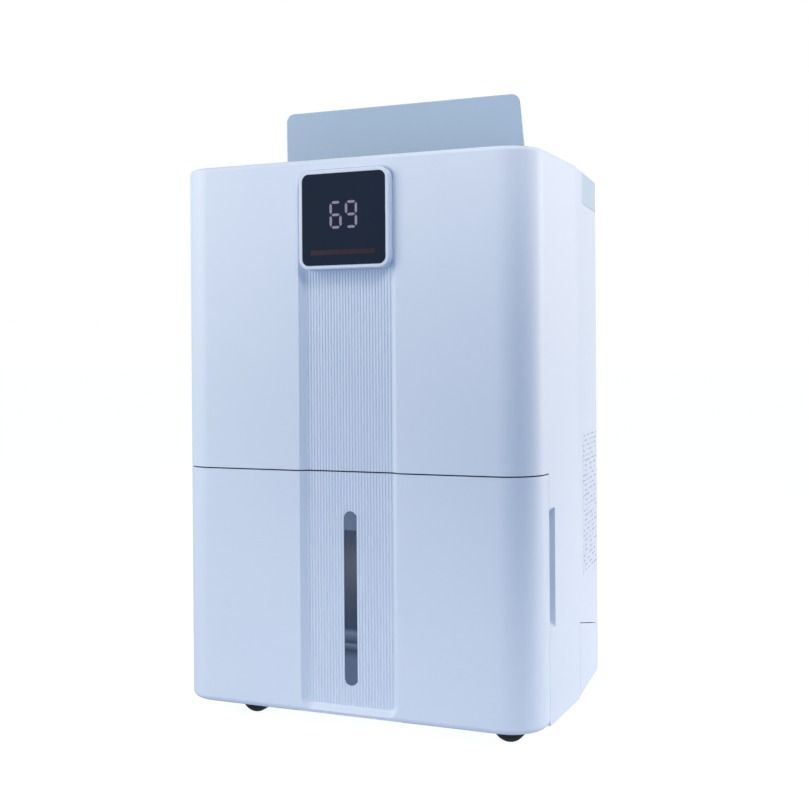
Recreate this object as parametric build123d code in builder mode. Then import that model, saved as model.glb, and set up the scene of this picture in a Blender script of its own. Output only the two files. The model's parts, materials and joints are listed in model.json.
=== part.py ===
"""Portable dehumidifier on casters: housing, pull-out tank, display, louver, fan and cooling circuit."""
from build123d import *
import os
from math import cos, radians, sin, tan

os.makedirs("parts", exist_ok=True)

# ---- body ----
BODY_W = 365.0
BODY_D = 280.0
BODY_H = 520.0
FLOOR_GAP = 15.0
WALL = 2.6
CORNER_R = 35.0
REAR_CORNER_R = 25.0
SIDE_STRAIGHT = 143.0
SIDE_TAPER = 5.93
SIDE_BLEND_R = 120.0
TOP_ROUND = 4.5
BOTTOM_ROUND = 6.0
GLASS_PROUD = 6.0
FAR = 400.0

FRONT_Y = GLASS_PROUD - (BODY_D + GLASS_PROUD) / 2
REAR_Y = FRONT_Y + BODY_D
BOTTOM_Z = FLOOR_GAP
TOP_Z = BOTTOM_Z + BODY_H
SIDE_X = BODY_W / 2

# ---- seams ----
SEAM_Z = BOTTOM_Z + 228.0
SEAM_GAP = 1.3
TANK_EDGE_Y = FRONT_Y + 44.5
REAR_PANEL_HALF = 138.0
SKIRT_Y = FRONT_Y + 146.0
SKIRT_FRONT_Z = BOTTOM_Z + 73.8
SKIRT_REAR_Z = BOTTOM_Z + 47.0
BAND_Y = FRONT_Y + 174.0
BAND_Z = BOTTOM_Z + 486.5
BAND_CORNER_R = 5.0
FIT_GAP = 0.4

# ---- ribbed channel down the front, a little right of the middle ----
STRIP_X = 2.0
CHANNEL_HALF = 50.0
CHANNEL_DEPTH = 5.0
CHANNEL_SLOPE = 47.7
CHANNEL_R = 12.0
CHANNEL_LOW = BOTTOM_Z + 4.0
CHANNEL_TOP = BOTTOM_Z + 510.0
FLOOR_Y = FRONT_Y + CHANNEL_DEPTH
RIB_PITCH = 3.04
RIB_COUNT = 29
RIB_WIDTH = 1.5
RIB_DEPTH = 0.9
RIB_FLANK = 24.0
RIB_LOW = BOTTOM_Z + 10.2
RIB_TOP = BOTTOM_Z + 504.0

# ---- display ----
GLASS_SIDE = 85.0
GLASS_R = 6.5
GLASS_T = 2.5
BEZEL_SIDE = 92.0
BEZEL_R = 10.0
BEZEL_STEP = 0.5
DISPLAY_Z = BOTTOM_Z + 462.3
BOARD_SIDE = 76.0
DIGIT_W = 13.5
DIGIT_H = 26.0
DIGIT_SPACING = 16.0
DIGIT_Z = BOTTOM_Z + 466.0
SEGMENT_W = 2.6
SEGMENT_T = 0.4
SEGMENT_GAP = 0.6
LIT_GAP = 0.1
BAR_W = 66.0
BAR_H = 4.6
BAR_Z = BOTTOM_Z + 431.5

# ---- louver and outlet ----
HINGE_Y = FRONT_Y + 139.0
HINGE_Z = TOP_Z - 4.0
LEAN = 7.0
LOUVER_L = 61.6
LOUVER_BASE_HALF = 133.5
LOUVER_TIP_HALF = 129.0
LOUVER_T = 3.0
LOUVER_TIP_R = 9.0
LOUVER_LIFT = 15.0
BARREL_R = 3.5
PIN_R = 2.0
PIN_END = 4.0
PIN_CLEARANCE = 0.05
LUG_HALF = 6.0
LUG_DROP = 7.0
OUTLET_HALF = 136.0
OUTLET_FRONT_Y = HINGE_Y - 79.0
OUTLET_REAR_Y = HINGE_Y + 4.5
DECK_INSET = 10.0
DECK_T = 3.0
DECK_TOP = TOP_Z - 1.0

# ---- keys ----
KEY_Y = FRONT_Y + 34.0
KEY_X = (-54.0, -18.0, 18.0, 54.0)
KEY_NAMES = ("key_power", "key_mode", "key_humidity", "key_fan")
KEY_W = 22.0
KEY_D = 11.0
KEY_RISE = 0.8
KEY_LIP = 2.0
KEY_LIP_T = 1.6
KEY_BOARD_Z = TOP_Z - 13.0

# ---- tank ----
TANK_TOP_Z = SEAM_Z - SEAM_GAP / 2
BUCKET_HALF = 166.0
BUCKET_FRONT_Y = FRONT_Y + 10.6
BUCKET_REAR_Y = FRONT_Y + 142.0
BUCKET_Z = BOTTOM_Z + 29.8
BUCKET_TOP = SEAM_Z - 6.0
BUCKET_R = 16.0
BUCKET_T = 2.2
WINDOW_W = 13.2
WINDOW_H = 162.4
WINDOW_Z = BOTTOM_Z + 109.9
FLOAT_X = 120.0
FLOAT_Y = -25.0
FLOAT_Z = 222.0
FLOAT_PIN_R = 1.5

# ---- side grips ----
GRIP_DEPTH = 10.0
GRIP_REAR_Y = FRONT_Y + 62.0
GRIP_LOW = BOTTOM_Z + 86.0
GRIP_HIGH = BOTTOM_Z + 197.0
GRIP_END = 9.0

# ---- base and casters ----
PAN_TOP = BOTTOM_Z + 29.0
PAN_INSET = 4.2
CASTER_X = 131.5
CASTER_FRONT_Y = FRONT_Y + 42.0
CASTER_REAR_Y = FRONT_Y + 241.0
WHEEL_R = 16.0
TRAIL = 15.0
WHEEL_W = 7.0
TREAD_ROUND = 1.5
WEB_T = 4.0
WHEEL_GAP = 0.5
HOOD_R = 17.2
STEM_R = 4.0
CASTER_SWING = 36.0
AXLE_R = 2.5

# ---- air path ----
FAN_Z = BOTTOM_Z + 340.0
FAN_R = 85.0
FAN_FRONT_Y = -66.0
FAN_REAR_Y = -16.0
SHAFT_R = 4.0
HOUSING_FRONT_Y = -77.0
HOUSING_REAR_Y = -8.0
HOUSING_HALF = 100.0
HOUSING_T = 2.0
HOUSING_TOP = BOTTOM_Z + 488.0
MOTOR_R = 38.0
COIL_HALF = 110.0
COIL_Z = BOTTOM_Z + 245.0
COIL_TOP = BOTTOM_Z + 455.0
CONDENSER_Y = 62.0
EVAPORATOR_Y = 98.0
COIL_DEPTH = 26.0
FIN_PITCH = 7.0
FIN_T = 0.8
TUBE_R = 3.5
TUBE_ROWS = 7
INTAKE_HALF = 118.0
INTAKE_LOW = BOTTOM_Z + 222.0
INTAKE_TOP = BOTTOM_Z + 462.0

# ---- lower bay ----
BAY_WALL_Y = FRONT_Y + 146.0
BAY_CEILING_Z = SEAM_Z + 6.0
BAY_T = 2.4
BAY_HALF = SIDE_X - 3.2
COMPRESSOR_X = -92.0
COMPRESSOR_Y = 76.0
COMPRESSOR_R = 54.0
SPOUT_X = 60.0
SPOUT_Y = -30.0
SPOUT_R = 6.5
SPOUT_BORE_R = 4.5
DRAIN_X = 95.0
DRAIN_Z = 215.0
DRAIN_R = 7.0
DRAIN_LENGTH = 14.0
DRAIN_BORE_R = 5.0
DRAIN_TAIL_R = 6.2
DRAIN_TAIL = 10.0
CUP_R = 15.0
CUP_DEPTH = 15.0
CUP_T = 1.6
CUP_FLANGE_R = 19.0
GLAND_X = -105.0
GLAND_Z = 95.0
GLAND_R = 7.9
GLAND_LENGTH = 8.0
GLAND_BORE_R = 3.7
GLAND_FLANGE_R = 11.0
GLAND_FLANGE_T = 2.0

INTO_BODY = Plane(origin=(STRIP_X, FRONT_Y, 0), x_dir=(-1, 0, 0), z_dir=(0, 1, 0))


def save(piece, label):
    """Names a finished piece and writes it as its own STEP file."""
    piece.part.label = label
    export_step(piece.part, f"parts/{label}.step")


def block(x_low, x_high, y_low, y_high, z_low, z_high, mode=Mode.ADD):
    """Adds or cuts the box between two opposite corners."""
    centre = ((x_low + x_high) / 2, (y_low + y_high) / 2, (z_low + z_high) / 2)
    with Locations(centre):
        Box(x_high - x_low, y_high - y_low, z_high - z_low, mode=mode)


def rod(centre, radius, length, direction, mode=Mode.ADD):
    """Adds or cuts a round bar centred on a point, along X, Y or Z."""
    turns = {"X": (0, 90, 0), "Y": (90, 0, 0), "Z": (0, 0, 0)}
    with Locations(centre):
        Cylinder(radius, length, rotation=turns[direction], mode=mode)


def plan_outline(inset, height):
    """Plan of the body drawn in by inset: rounded front, sides that taper in towards the rear."""
    half = SIDE_X - inset
    taper_y = FRONT_Y + SIDE_STRAIGHT
    rear_y = REAR_Y - inset
    rear_half = half - (rear_y - taper_y) * tan(radians(SIDE_TAPER))
    with BuildSketch(Plane.XY.offset(height)) as plan:
        with BuildLine():
            Polyline(
                (-half, FRONT_Y + inset),
                (half, FRONT_Y + inset),
                (half, taper_y),
                (rear_half, rear_y),
                (-rear_half, rear_y),
                (-half, taper_y),
                close=True,
            )
        make_face()
        fillet(plan.vertices().sort_by(Axis.Y)[:2], radius=CORNER_R - inset)
        fillet(plan.vertices().sort_by(Axis.Y)[-2:], radius=REAR_CORNER_R - inset)
        fillet(plan.vertices().filter_by_position(Axis.Y, taper_y - 1, taper_y + 1), radius=SIDE_BLEND_R)
    return plan.sketch


def skirt_profile(gap):
    """Side view of the rear skirt: its top edge slopes down to the rear."""
    with BuildSketch(Plane.YZ) as profile:
        with BuildLine():
            Polyline(
                (SKIRT_Y + gap, BOTTOM_Z - gap - 1),
                (SKIRT_Y + gap, SKIRT_FRONT_Z - gap),
                (REAR_Y + 1, SKIRT_REAR_Z - gap),
                (REAR_Y + 1, BOTTOM_Z - gap - 1),
                close=True,
            )
        make_face()
    return profile.sketch


def band_profile(gap):
    """Side view of the grey band's place, with its rounded lower front corner."""
    with BuildSketch(Plane.YZ) as profile:
        with BuildLine():
            Polyline(
                (BAND_Y + gap, BAND_Z + gap),
                (REAR_Y + 1, BAND_Z + gap),
                (REAR_Y + 1, TOP_Z + 1),
                (BAND_Y + gap, TOP_Z + 1),
                close=True,
            )
        make_face()
        fillet(profile.vertices().group_by(Axis.X)[0].sort_by(Axis.Y)[:1], radius=BAND_CORNER_R)
    return profile.sketch


# ---- tools that cut both the shell and the tank front ----
with BuildPart() as channel_tool:
    with BuildSketch(INTO_BODY):
        with Locations((0, (CHANNEL_LOW + CHANNEL_TOP) / 2)):
            RectangleRounded(2 * CHANNEL_HALF, CHANNEL_TOP - CHANNEL_LOW, CHANNEL_R)
    extrude(amount=CHANNEL_DEPTH, taper=CHANNEL_SLOPE)

with BuildPart() as rib_tool:
    with BuildSketch(INTO_BODY.offset(CHANNEL_DEPTH)):
        with Locations((0, (RIB_LOW + RIB_TOP) / 2)):
            with GridLocations(RIB_PITCH, 1, RIB_COUNT, 1):
                Rectangle(RIB_WIDTH, RIB_TOP - RIB_LOW)
    extrude(amount=RIB_DEPTH, taper=RIB_FLANK)

# ---- white front shell ----
with BuildPart() as front_shell:
    extrude(plan_outline(0, BOTTOM_Z), amount=BODY_H)
    fillet(front_shell.edges().group_by(Axis.Z)[-1], radius=TOP_ROUND)
    extrude(plan_outline(WALL, BOTTOM_Z - 1), amount=BODY_H + 1 - WALL, mode=Mode.SUBTRACT)
    block(STRIP_X - CHANNEL_HALF - WALL, STRIP_X + CHANNEL_HALF + WALL, FRONT_Y + WALL / 2, FLOOR_Y + WALL,
          SEAM_Z, TOP_Z - WALL / 2)
    for side in (-1, 1):
        inner_x = side * (SIDE_X - GRIP_DEPTH - WALL)
        outer_x = side * (SIDE_X - WALL / 2)
        block(min(inner_x, outer_x), max(inner_x, outer_x), TANK_EDGE_Y, GRIP_REAR_Y + WALL,
              GRIP_LOW - WALL, GRIP_HIGH + WALL)
        with BuildSketch(Plane.XZ.offset(-GRIP_REAR_Y)):
            with BuildLine():
                Polyline(
                    (side * (SIDE_X + 1), GRIP_LOW),
                    (side * (SIDE_X - GRIP_DEPTH), GRIP_LOW + GRIP_END),
                    (side * (SIDE_X - GRIP_DEPTH), GRIP_HIGH - GRIP_END),
                    (side * (SIDE_X + 1), GRIP_HIGH),
                    close=True,
                )
            make_face()
        extrude(amount=GRIP_REAR_Y - TANK_EDGE_Y + 1, mode=Mode.SUBTRACT)
    block(-FAR, FAR, FRONT_Y - 1, TANK_EDGE_Y, BOTTOM_Z - 1, SEAM_Z + SEAM_GAP / 2, mode=Mode.SUBTRACT)
    block(-REAR_PANEL_HALF, REAR_PANEL_HALF, REAR_Y - CORNER_R, REAR_Y + 1, BOTTOM_Z - 1, TOP_Z + 1,
          mode=Mode.SUBTRACT)
    extrude(skirt_profile(0), amount=FAR, both=True, mode=Mode.SUBTRACT)
    extrude(band_profile(0), amount=FAR, both=True, mode=Mode.SUBTRACT)
    extrude(plan_outline(DECK_INSET, TOP_Z - 3 * WALL), amount=4 * WALL, mode=Mode.SUBTRACT)
    add(channel_tool.part, mode=Mode.SUBTRACT)
    add(rib_tool.part, mode=Mode.SUBTRACT)
    with BuildSketch(INTO_BODY):
        with Locations((0, DISPLAY_Z)):
            RectangleRounded(BEZEL_SIDE + FIT_GAP, BEZEL_SIDE + FIT_GAP, BEZEL_R)
    extrude(amount=CHANNEL_DEPTH + RIB_DEPTH, mode=Mode.SUBTRACT)
    block(STRIP_X - BOARD_SIDE / 2, STRIP_X + BOARD_SIDE / 2, FRONT_Y, FLOOR_Y + 2 * WALL,
          DISPLAY_Z - BOARD_SIDE / 2, DISPLAY_Z + BOARD_SIDE / 2, mode=Mode.SUBTRACT)
save(front_shell, "front_shell")

# ---- grey top deck with its band round the rear, outlet mouth, hinge lugs and key holes ----
with BuildPart() as top_deck:
    extrude(plan_outline(0, BAND_Z), amount=TOP_Z - BAND_Z)
    fillet(top_deck.edges().group_by(Axis.Z)[-1], radius=TOP_ROUND)
    extrude(band_profile(FIT_GAP), amount=FAR, both=True, mode=Mode.INTERSECT)
    extrude(plan_outline(WALL, BAND_Z - 1), amount=TOP_Z - BAND_Z + 1 - DECK_T, mode=Mode.SUBTRACT)
    extrude(plan_outline(DECK_INSET + FIT_GAP, DECK_TOP - DECK_T), amount=DECK_T)
    for side in (-1, 1):
        lug_x = side * (OUTLET_HALF + DECK_T)
        block(lug_x - DECK_T, lug_x + DECK_T, HINGE_Y - LUG_HALF, HINGE_Y + LUG_HALF, HINGE_Z - LUG_DROP,
              DECK_TOP - FIT_GAP)
    block(-OUTLET_HALF, OUTLET_HALF, OUTLET_FRONT_Y, OUTLET_REAR_Y, DECK_TOP - 2 * DECK_T, TOP_Z + 1,
          mode=Mode.SUBTRACT)
    rod((0, HINGE_Y, HINGE_Z), PIN_R + PIN_CLEARANCE, 2 * (OUTLET_HALF + PIN_END + 1), "X",
        mode=Mode.SUBTRACT)
    with BuildSketch(Plane.XY.offset(DECK_TOP)):
        for key_x in KEY_X:
            with Locations((key_x, KEY_Y)):
                RectangleRounded(KEY_W + 2 * FIT_GAP, KEY_D + 2 * FIT_GAP, KEY_D / 2)
    extrude(amount=-2 * DECK_T, mode=Mode.SUBTRACT)
save(top_deck, "top_deck")

# ---- outlet grille under the louver ----
GRILLE_TOP = HINGE_Z - 6.0
GRILLE_H = 15.0
GRILLE_LOW = GRILLE_TOP - GRILLE_H
GRILLE_HALF = OUTLET_HALF - 1.0
GRILLE_FRONT_Y = OUTLET_FRONT_Y + 1.0
GRILLE_REAR_Y = HINGE_Y - 7.0
GRILLE_WALL = 3.0
GRILLE_DEPTH = GRILLE_REAR_Y - GRILLE_FRONT_Y
VANE_COUNT = 7
VANE_PITCH = 8.6
VANE_T = 1.6
STAY_PITCH = 66.0
with BuildPart() as outlet_grille:
    block(-GRILLE_HALF, GRILLE_HALF, GRILLE_FRONT_Y, GRILLE_REAR_Y, GRILLE_LOW, GRILLE_TOP)
    block(-GRILLE_HALF + GRILLE_WALL, GRILLE_HALF - GRILLE_WALL, GRILLE_FRONT_Y + GRILLE_WALL,
          GRILLE_REAR_Y - GRILLE_WALL, GRILLE_LOW - 1, GRILLE_TOP + 1, mode=Mode.SUBTRACT)
    with Locations((0, (GRILLE_FRONT_Y + GRILLE_REAR_Y) / 2, (GRILLE_LOW + GRILLE_TOP) / 2)):
        with GridLocations(1, VANE_PITCH, 1, VANE_COUNT):
            Box(2 * GRILLE_HALF - GRILLE_WALL, VANE_T, GRILLE_H - 2)
        with GridLocations(STAY_PITCH, 1, 3, 1):
            Box(2, GRILLE_DEPTH - GRILLE_WALL, GRILLE_H - 4)
save(outlet_grille, "outlet_grille")

# ---- louver, stood open and leaning forward ----
LOUVER_PLANE = Plane(
    origin=(0, HINGE_Y, HINGE_Z),
    x_dir=(1, 0, 0),
    z_dir=(0, -cos(radians(LEAN)), -sin(radians(LEAN))),
)
with BuildPart() as louver:
    with BuildSketch(LOUVER_PLANE.offset(-LOUVER_T / 2)):
        with BuildLine():
            Polyline(
                (-LOUVER_BASE_HALF, 0),
                (LOUVER_BASE_HALF, 0),
                (LOUVER_TIP_HALF, LOUVER_L + LOUVER_LIFT),
                (-LOUVER_TIP_HALF, LOUVER_L + LOUVER_LIFT),
                close=True,
            )
        make_face()
        fillet(vertices().group_by(Axis.Z)[-1], radius=LOUVER_TIP_R)
    extrude(amount=LOUVER_T)
    fillet(louver.faces().sort_by(Axis.Z)[-1].edges().filter_by(Axis.X), radius=LOUVER_T / 3)
    rod((0, HINGE_Y, HINGE_Z), BARREL_R, 2 * LOUVER_BASE_HALF, "X")
    rod((0, HINGE_Y, HINGE_Z), PIN_R, 2 * (OUTLET_HALF + PIN_END), "X")
save(louver, "louver")

# ---- keys and their switch board ----
for key_x, key_name in zip(KEY_X, KEY_NAMES):
    with BuildPart() as key:
        with BuildSketch(Plane.XY.offset(DECK_TOP - DECK_T - FIT_GAP)):
            with Locations((key_x, KEY_Y)):
                RectangleRounded(KEY_W, KEY_D, KEY_D / 2 - FIT_GAP / 2)
        extrude(amount=DECK_T + KEY_RISE + FIT_GAP)
        fillet(key.edges().group_by(Axis.Z)[-1], radius=KEY_RISE / 2)
        with BuildSketch(Plane.XY.offset(DECK_TOP - DECK_T - FIT_GAP)):
            with Locations((key_x, KEY_Y)):
                RectangleRounded(KEY_W + 2 * KEY_LIP, KEY_D + 2 * KEY_LIP, KEY_D / 2 + 1)
        extrude(amount=-KEY_LIP_T)
    save(key, key_name)

BOARD_T = 1.6
KEY_BOARD_HALF = 75.0
SWITCH_W = 6.0
SWITCH_H = 3.2
PLUNGER_R = 1.7
PLUNGER_H = 1.2
with BuildPart() as key_board:
    block(-KEY_BOARD_HALF, KEY_BOARD_HALF, KEY_Y - KEY_D, KEY_Y + KEY_D, KEY_BOARD_Z, KEY_BOARD_Z + BOARD_T)
    for key_x in KEY_X:
        with Locations((key_x, KEY_Y, KEY_BOARD_Z + BOARD_T + SWITCH_H / 2)):
            Box(SWITCH_W, SWITCH_W, SWITCH_H)
        rod((key_x, KEY_Y, KEY_BOARD_Z + BOARD_T + SWITCH_H + PLUNGER_H / 2), PLUNGER_R, PLUNGER_H, "Z")
save(key_board, "key_board")

# ---- display ----
with BuildPart() as display_bezel:
    with BuildSketch(INTO_BODY.offset(BEZEL_STEP - GLASS_PROUD)):
        with Locations((0, DISPLAY_Z)):
            RectangleRounded(BEZEL_SIDE, BEZEL_SIDE, BEZEL_R - 0.2)
    extrude(amount=CHANNEL_DEPTH + GLASS_PROUD - BEZEL_STEP + RIB_DEPTH)
    fillet(display_bezel.edges().group_by(Axis.Y)[0], radius=1.2)
    with BuildSketch(INTO_BODY.offset(-GLASS_PROUD)):
        with Locations((0, DISPLAY_Z)):
            RectangleRounded(GLASS_SIDE + 0.3, GLASS_SIDE + 0.3, GLASS_R + 0.15)
    extrude(amount=GLASS_T, mode=Mode.SUBTRACT)
    block(STRIP_X - BOARD_SIDE / 2, STRIP_X + BOARD_SIDE / 2, FRONT_Y - GLASS_PROUD, FLOOR_Y + RIB_DEPTH + 1,
          DISPLAY_Z - BOARD_SIDE / 2, DISPLAY_Z + BOARD_SIDE / 2, mode=Mode.SUBTRACT)
save(display_bezel, "display_bezel")

with BuildPart() as display_glass:
    with BuildSketch(INTO_BODY.offset(-GLASS_PROUD)):
        with Locations((0, DISPLAY_Z)):
            RectangleRounded(GLASS_SIDE, GLASS_SIDE, GLASS_R)
    extrude(amount=GLASS_T)
    fillet(display_glass.edges().group_by(Axis.Y)[0], radius=0.4)
save(display_glass, "display_glass")

SEGMENTS = {
    "top": (0, 1, "flat"),
    "middle": (0, 0, "flat"),
    "bottom": (0, -1, "flat"),
    "upper_left": (-1, 0.5, "upright"),
    "upper_right": (1, 0.5, "upright"),
    "lower_left": (-1, -0.5, "upright"),
    "lower_right": (1, -0.5, "upright"),
}
SIX = ("top", "middle", "bottom", "upper_left", "lower_left", "lower_right")
NINE = ("top", "middle", "bottom", "upper_left", "upper_right", "lower_right")
LIT_Y = FRONT_Y - GLASS_PROUD + GLASS_T + LIT_GAP
with BuildPart() as display_digits:
    for digit_x, lit in ((-DIGIT_SPACING / 2, SIX), (DIGIT_SPACING / 2, NINE)):
        for segment in lit:
            across, up, way = SEGMENTS[segment]
            seg_x = STRIP_X + digit_x + across * (DIGIT_W - SEGMENT_W) / 2
            seg_z = DIGIT_Z + up * (DIGIT_H - SEGMENT_W) / 2
            long_x = DIGIT_W - 2 * SEGMENT_W - SEGMENT_GAP if way == "flat" else SEGMENT_W
            long_z = SEGMENT_W if way == "flat" else (DIGIT_H - 3 * SEGMENT_W) / 2 - SEGMENT_GAP
            with Locations((seg_x, LIT_Y + SEGMENT_T / 2, seg_z)):
                Box(long_x, SEGMENT_T, long_z)
save(display_digits, "display_digits")

with BuildPart() as display_bar:
    block(STRIP_X - BAR_W / 2, STRIP_X + BAR_W / 2, LIT_Y, LIT_Y + SEGMENT_T, BAR_Z - BAR_H / 2,
          BAR_Z + BAR_H / 2)
save(display_bar, "display_bar")

CHIP_W = 40.0
CHIP_H = 12.0
CHIP_T = 4.4
with BuildPart() as display_board:
    board_y = LIT_Y + SEGMENT_T + LIT_GAP
    board_back = board_y + BOARD_T
    half = BOARD_SIDE / 2 - FIT_GAP
    block(STRIP_X - half, STRIP_X + half, board_y, board_back, DISPLAY_Z - half, DISPLAY_Z + half)
    block(STRIP_X - CHIP_W / 2, STRIP_X + CHIP_W / 2, board_back, board_back + CHIP_T,
          DISPLAY_Z - BOARD_SIDE / 4 - CHIP_H / 2, DISPLAY_Z - BOARD_SIDE / 4 + CHIP_H / 2)
save(display_board, "display_board")

# ---- tank ----
with BuildPart() as tank_front:
    extrude(plan_outline(0, BOTTOM_Z), amount=TANK_TOP_Z - BOTTOM_Z)
    fillet(tank_front.edges().group_by(Axis.Z)[0], radius=BOTTOM_ROUND)
    extrude(plan_outline(WALL, BOTTOM_Z + WALL), amount=BODY_H, mode=Mode.SUBTRACT)
    block(-FAR, FAR, TANK_EDGE_Y - SEAM_GAP / 2, FAR, 0, FAR, mode=Mode.SUBTRACT)
    block(STRIP_X - CHANNEL_HALF - WALL, STRIP_X + CHANNEL_HALF + WALL, FRONT_Y + WALL / 2, FLOOR_Y + WALL,
          BOTTOM_Z + WALL / 2, TANK_TOP_Z)
    extrude(plan_outline(2 * WALL, 0), amount=BOTTOM_Z + 2 * WALL, mode=Mode.SUBTRACT)
    for side in (-1, 1):
        block(side * 110 - 30, side * 110 + 30, FRONT_Y + WALL / 2, BUCKET_FRONT_Y - 0.01, 60, 63)
        block(side * 110 - 30, side * 110 + 30, FRONT_Y + WALL / 2, BUCKET_FRONT_Y - 0.01, 220, 223)
    add(channel_tool.part, mode=Mode.SUBTRACT)
    add(rib_tool.part, mode=Mode.SUBTRACT)
    with BuildSketch(INTO_BODY):
        with Locations((0, WINDOW_Z)):
            SlotOverall(WINDOW_H, WINDOW_W, rotation=90)
    extrude(amount=4 * WALL, mode=Mode.SUBTRACT)
save(tank_front, "tank_front")

with BuildPart() as tank_window:
    with BuildSketch(INTO_BODY.offset(CHANNEL_DEPTH + 0.3)):
        with Locations((0, WINDOW_Z)):
            SlotOverall(WINDOW_H - 0.3, WINDOW_W - 0.3, rotation=90)
    extrude(amount=WALL - 0.3)
    with BuildSketch(INTO_BODY.offset(CHANNEL_DEPTH + WALL)):
        with Locations((0, WINDOW_Z)):
            SlotOverall(WINDOW_H + 8, WINDOW_W + 8, rotation=90)
    extrude(amount=1.4)
save(tank_window, "tank_window")

with BuildPart() as tank_bucket:
    with BuildSketch(Plane.XY.offset(BUCKET_Z)):
        with Locations((0, (BUCKET_FRONT_Y + BUCKET_REAR_Y) / 2)):
            RectangleRounded(2 * BUCKET_HALF, BUCKET_REAR_Y - BUCKET_FRONT_Y, BUCKET_R)
    extrude(amount=BUCKET_TOP - BUCKET_Z)
    fillet(tank_bucket.edges().group_by(Axis.Z)[0], radius=4)
    with BuildSketch(Plane.XY.offset(BUCKET_Z + BUCKET_T)):
        with Locations((0, (BUCKET_FRONT_Y + BUCKET_REAR_Y) / 2)):
            RectangleRounded(2 * (BUCKET_HALF - BUCKET_T), BUCKET_REAR_Y - BUCKET_FRONT_Y - 2 * BUCKET_T,
                             BUCKET_R - BUCKET_T)
    extrude(amount=BODY_H, mode=Mode.SUBTRACT)
    for ear in (-1, 1):
        block(FLOAT_X + ear * 16 - 1.5, FLOAT_X + ear * 16 + 1.5, FLOAT_Y - 4, BUCKET_REAR_Y - BUCKET_T / 2,
              FLOAT_Z - 5, FLOAT_Z + 5)
    rod((FLOAT_X, FLOAT_Y, FLOAT_Z), FLOAT_PIN_R, 32, "X")
save(tank_bucket, "tank_bucket")

LID_RIM_T = 2.2
LID_RIM_GAP = 0.3
with BuildPart() as tank_lid:
    rim_half = BUCKET_HALF - BUCKET_T - LID_RIM_GAP
    rim_depth = BUCKET_REAR_Y - BUCKET_FRONT_Y - 2 * (BUCKET_T + LID_RIM_GAP)
    with BuildSketch(Plane.XY.offset(BUCKET_TOP + 0.02)):
        with Locations((0, (BUCKET_FRONT_Y + BUCKET_REAR_Y) / 2)):
            RectangleRounded(2 * BUCKET_HALF, BUCKET_REAR_Y - BUCKET_FRONT_Y, BUCKET_R)
    extrude(amount=2)
    with BuildSketch(Plane.XY.offset(BUCKET_TOP + 0.02)):
        with Locations((0, (BUCKET_FRONT_Y + BUCKET_REAR_Y) / 2)):
            RectangleRounded(2 * rim_half, rim_depth, BUCKET_R - BUCKET_T)
            RectangleRounded(2 * (rim_half - LID_RIM_T), rim_depth - 2 * LID_RIM_T,
                             BUCKET_R - BUCKET_T - LID_RIM_T, mode=Mode.SUBTRACT)
    extrude(amount=-3)
    with BuildSketch(Plane.XY.offset(BUCKET_TOP + 3)):
        with Locations((SPOUT_X, SPOUT_Y)):
            RectangleRounded(70, 36, 8)
        with Locations((-90, -70)):
            SlotOverall(90, 30)
    extrude(amount=-8, mode=Mode.SUBTRACT)
save(tank_lid, "tank_lid")

with BuildPart() as tank_float:
    block(FLOAT_X - 13, FLOAT_X + 13, FLOAT_Y - 11, FLOAT_Y + 11, FLOAT_Z - 60, FLOAT_Z - 30)
    fillet(tank_float.edges().filter_by(Axis.Z), radius=4)
    block(FLOAT_X - 4, FLOAT_X + 4, FLOAT_Y - 2, FLOAT_Y + 2, FLOAT_Z - 31, FLOAT_Z)
    rod((FLOAT_X, FLOAT_Y, FLOAT_Z), 3.6, 24, "X")
    rod((FLOAT_X, FLOAT_Y, FLOAT_Z), FLOAT_PIN_R + PIN_CLEARANCE, 30, "X", mode=Mode.SUBTRACT)
save(tank_float, "tank_float")

# ---- base pan with rear skirt and caster bosses ----
with BuildPart() as base_pan:
    extrude(plan_outline(PAN_INSET, BOTTOM_Z + 4), amount=PAN_TOP - BOTTOM_Z - 4)
    block(-FAR, FAR, FRONT_Y - 1, FRONT_Y + 9, 0, FAR, mode=Mode.SUBTRACT)
    with BuildSketch(Plane.XY.offset(BOTTOM_Z)):
        with Locations((0, (FRONT_Y + 9 + WALL + REAR_Y - PAN_INSET - WALL) / 2)):
            RectangleRounded(2 * (SIDE_X - 40), REAR_Y - PAN_INSET - FRONT_Y - 9 - 2 * WALL, 20)
    extrude(amount=PAN_TOP - BOTTOM_Z - 3, mode=Mode.SUBTRACT)
    for side in (-1, 1):
        for caster_y in (CASTER_FRONT_Y, CASTER_REAR_Y):
            rod((side * CASTER_X, caster_y, BOTTOM_Z + 11), CASTER_SWING, 30, "Z", mode=Mode.SUBTRACT)
            rod((side * CASTER_X, caster_y, PAN_TOP - 2), 10, 4, "Z")
with BuildPart() as skirt:
    extrude(plan_outline(0, BOTTOM_Z), amount=SKIRT_FRONT_Z - BOTTOM_Z)
    fillet(skirt.edges().group_by(Axis.Z)[0], radius=BOTTOM_ROUND / 2)
    extrude(plan_outline(WALL, BOTTOM_Z - 1), amount=BODY_H, mode=Mode.SUBTRACT)
    extrude(plan_outline(1, PAN_TOP - 3), amount=3)
    extrude(skirt_profile(1), amount=FAR, both=True, mode=Mode.INTERSECT)
with BuildPart() as base:
    add(base_pan.part)
    add(skirt.part)
    for side in (-1, 1):
        for caster_y in (CASTER_FRONT_Y, CASTER_REAR_Y):
            rod((side * CASTER_X, caster_y, PAN_TOP), STEM_R + PIN_CLEARANCE, 20, "Z", mode=Mode.SUBTRACT)
save(base, "base_pan")

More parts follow.
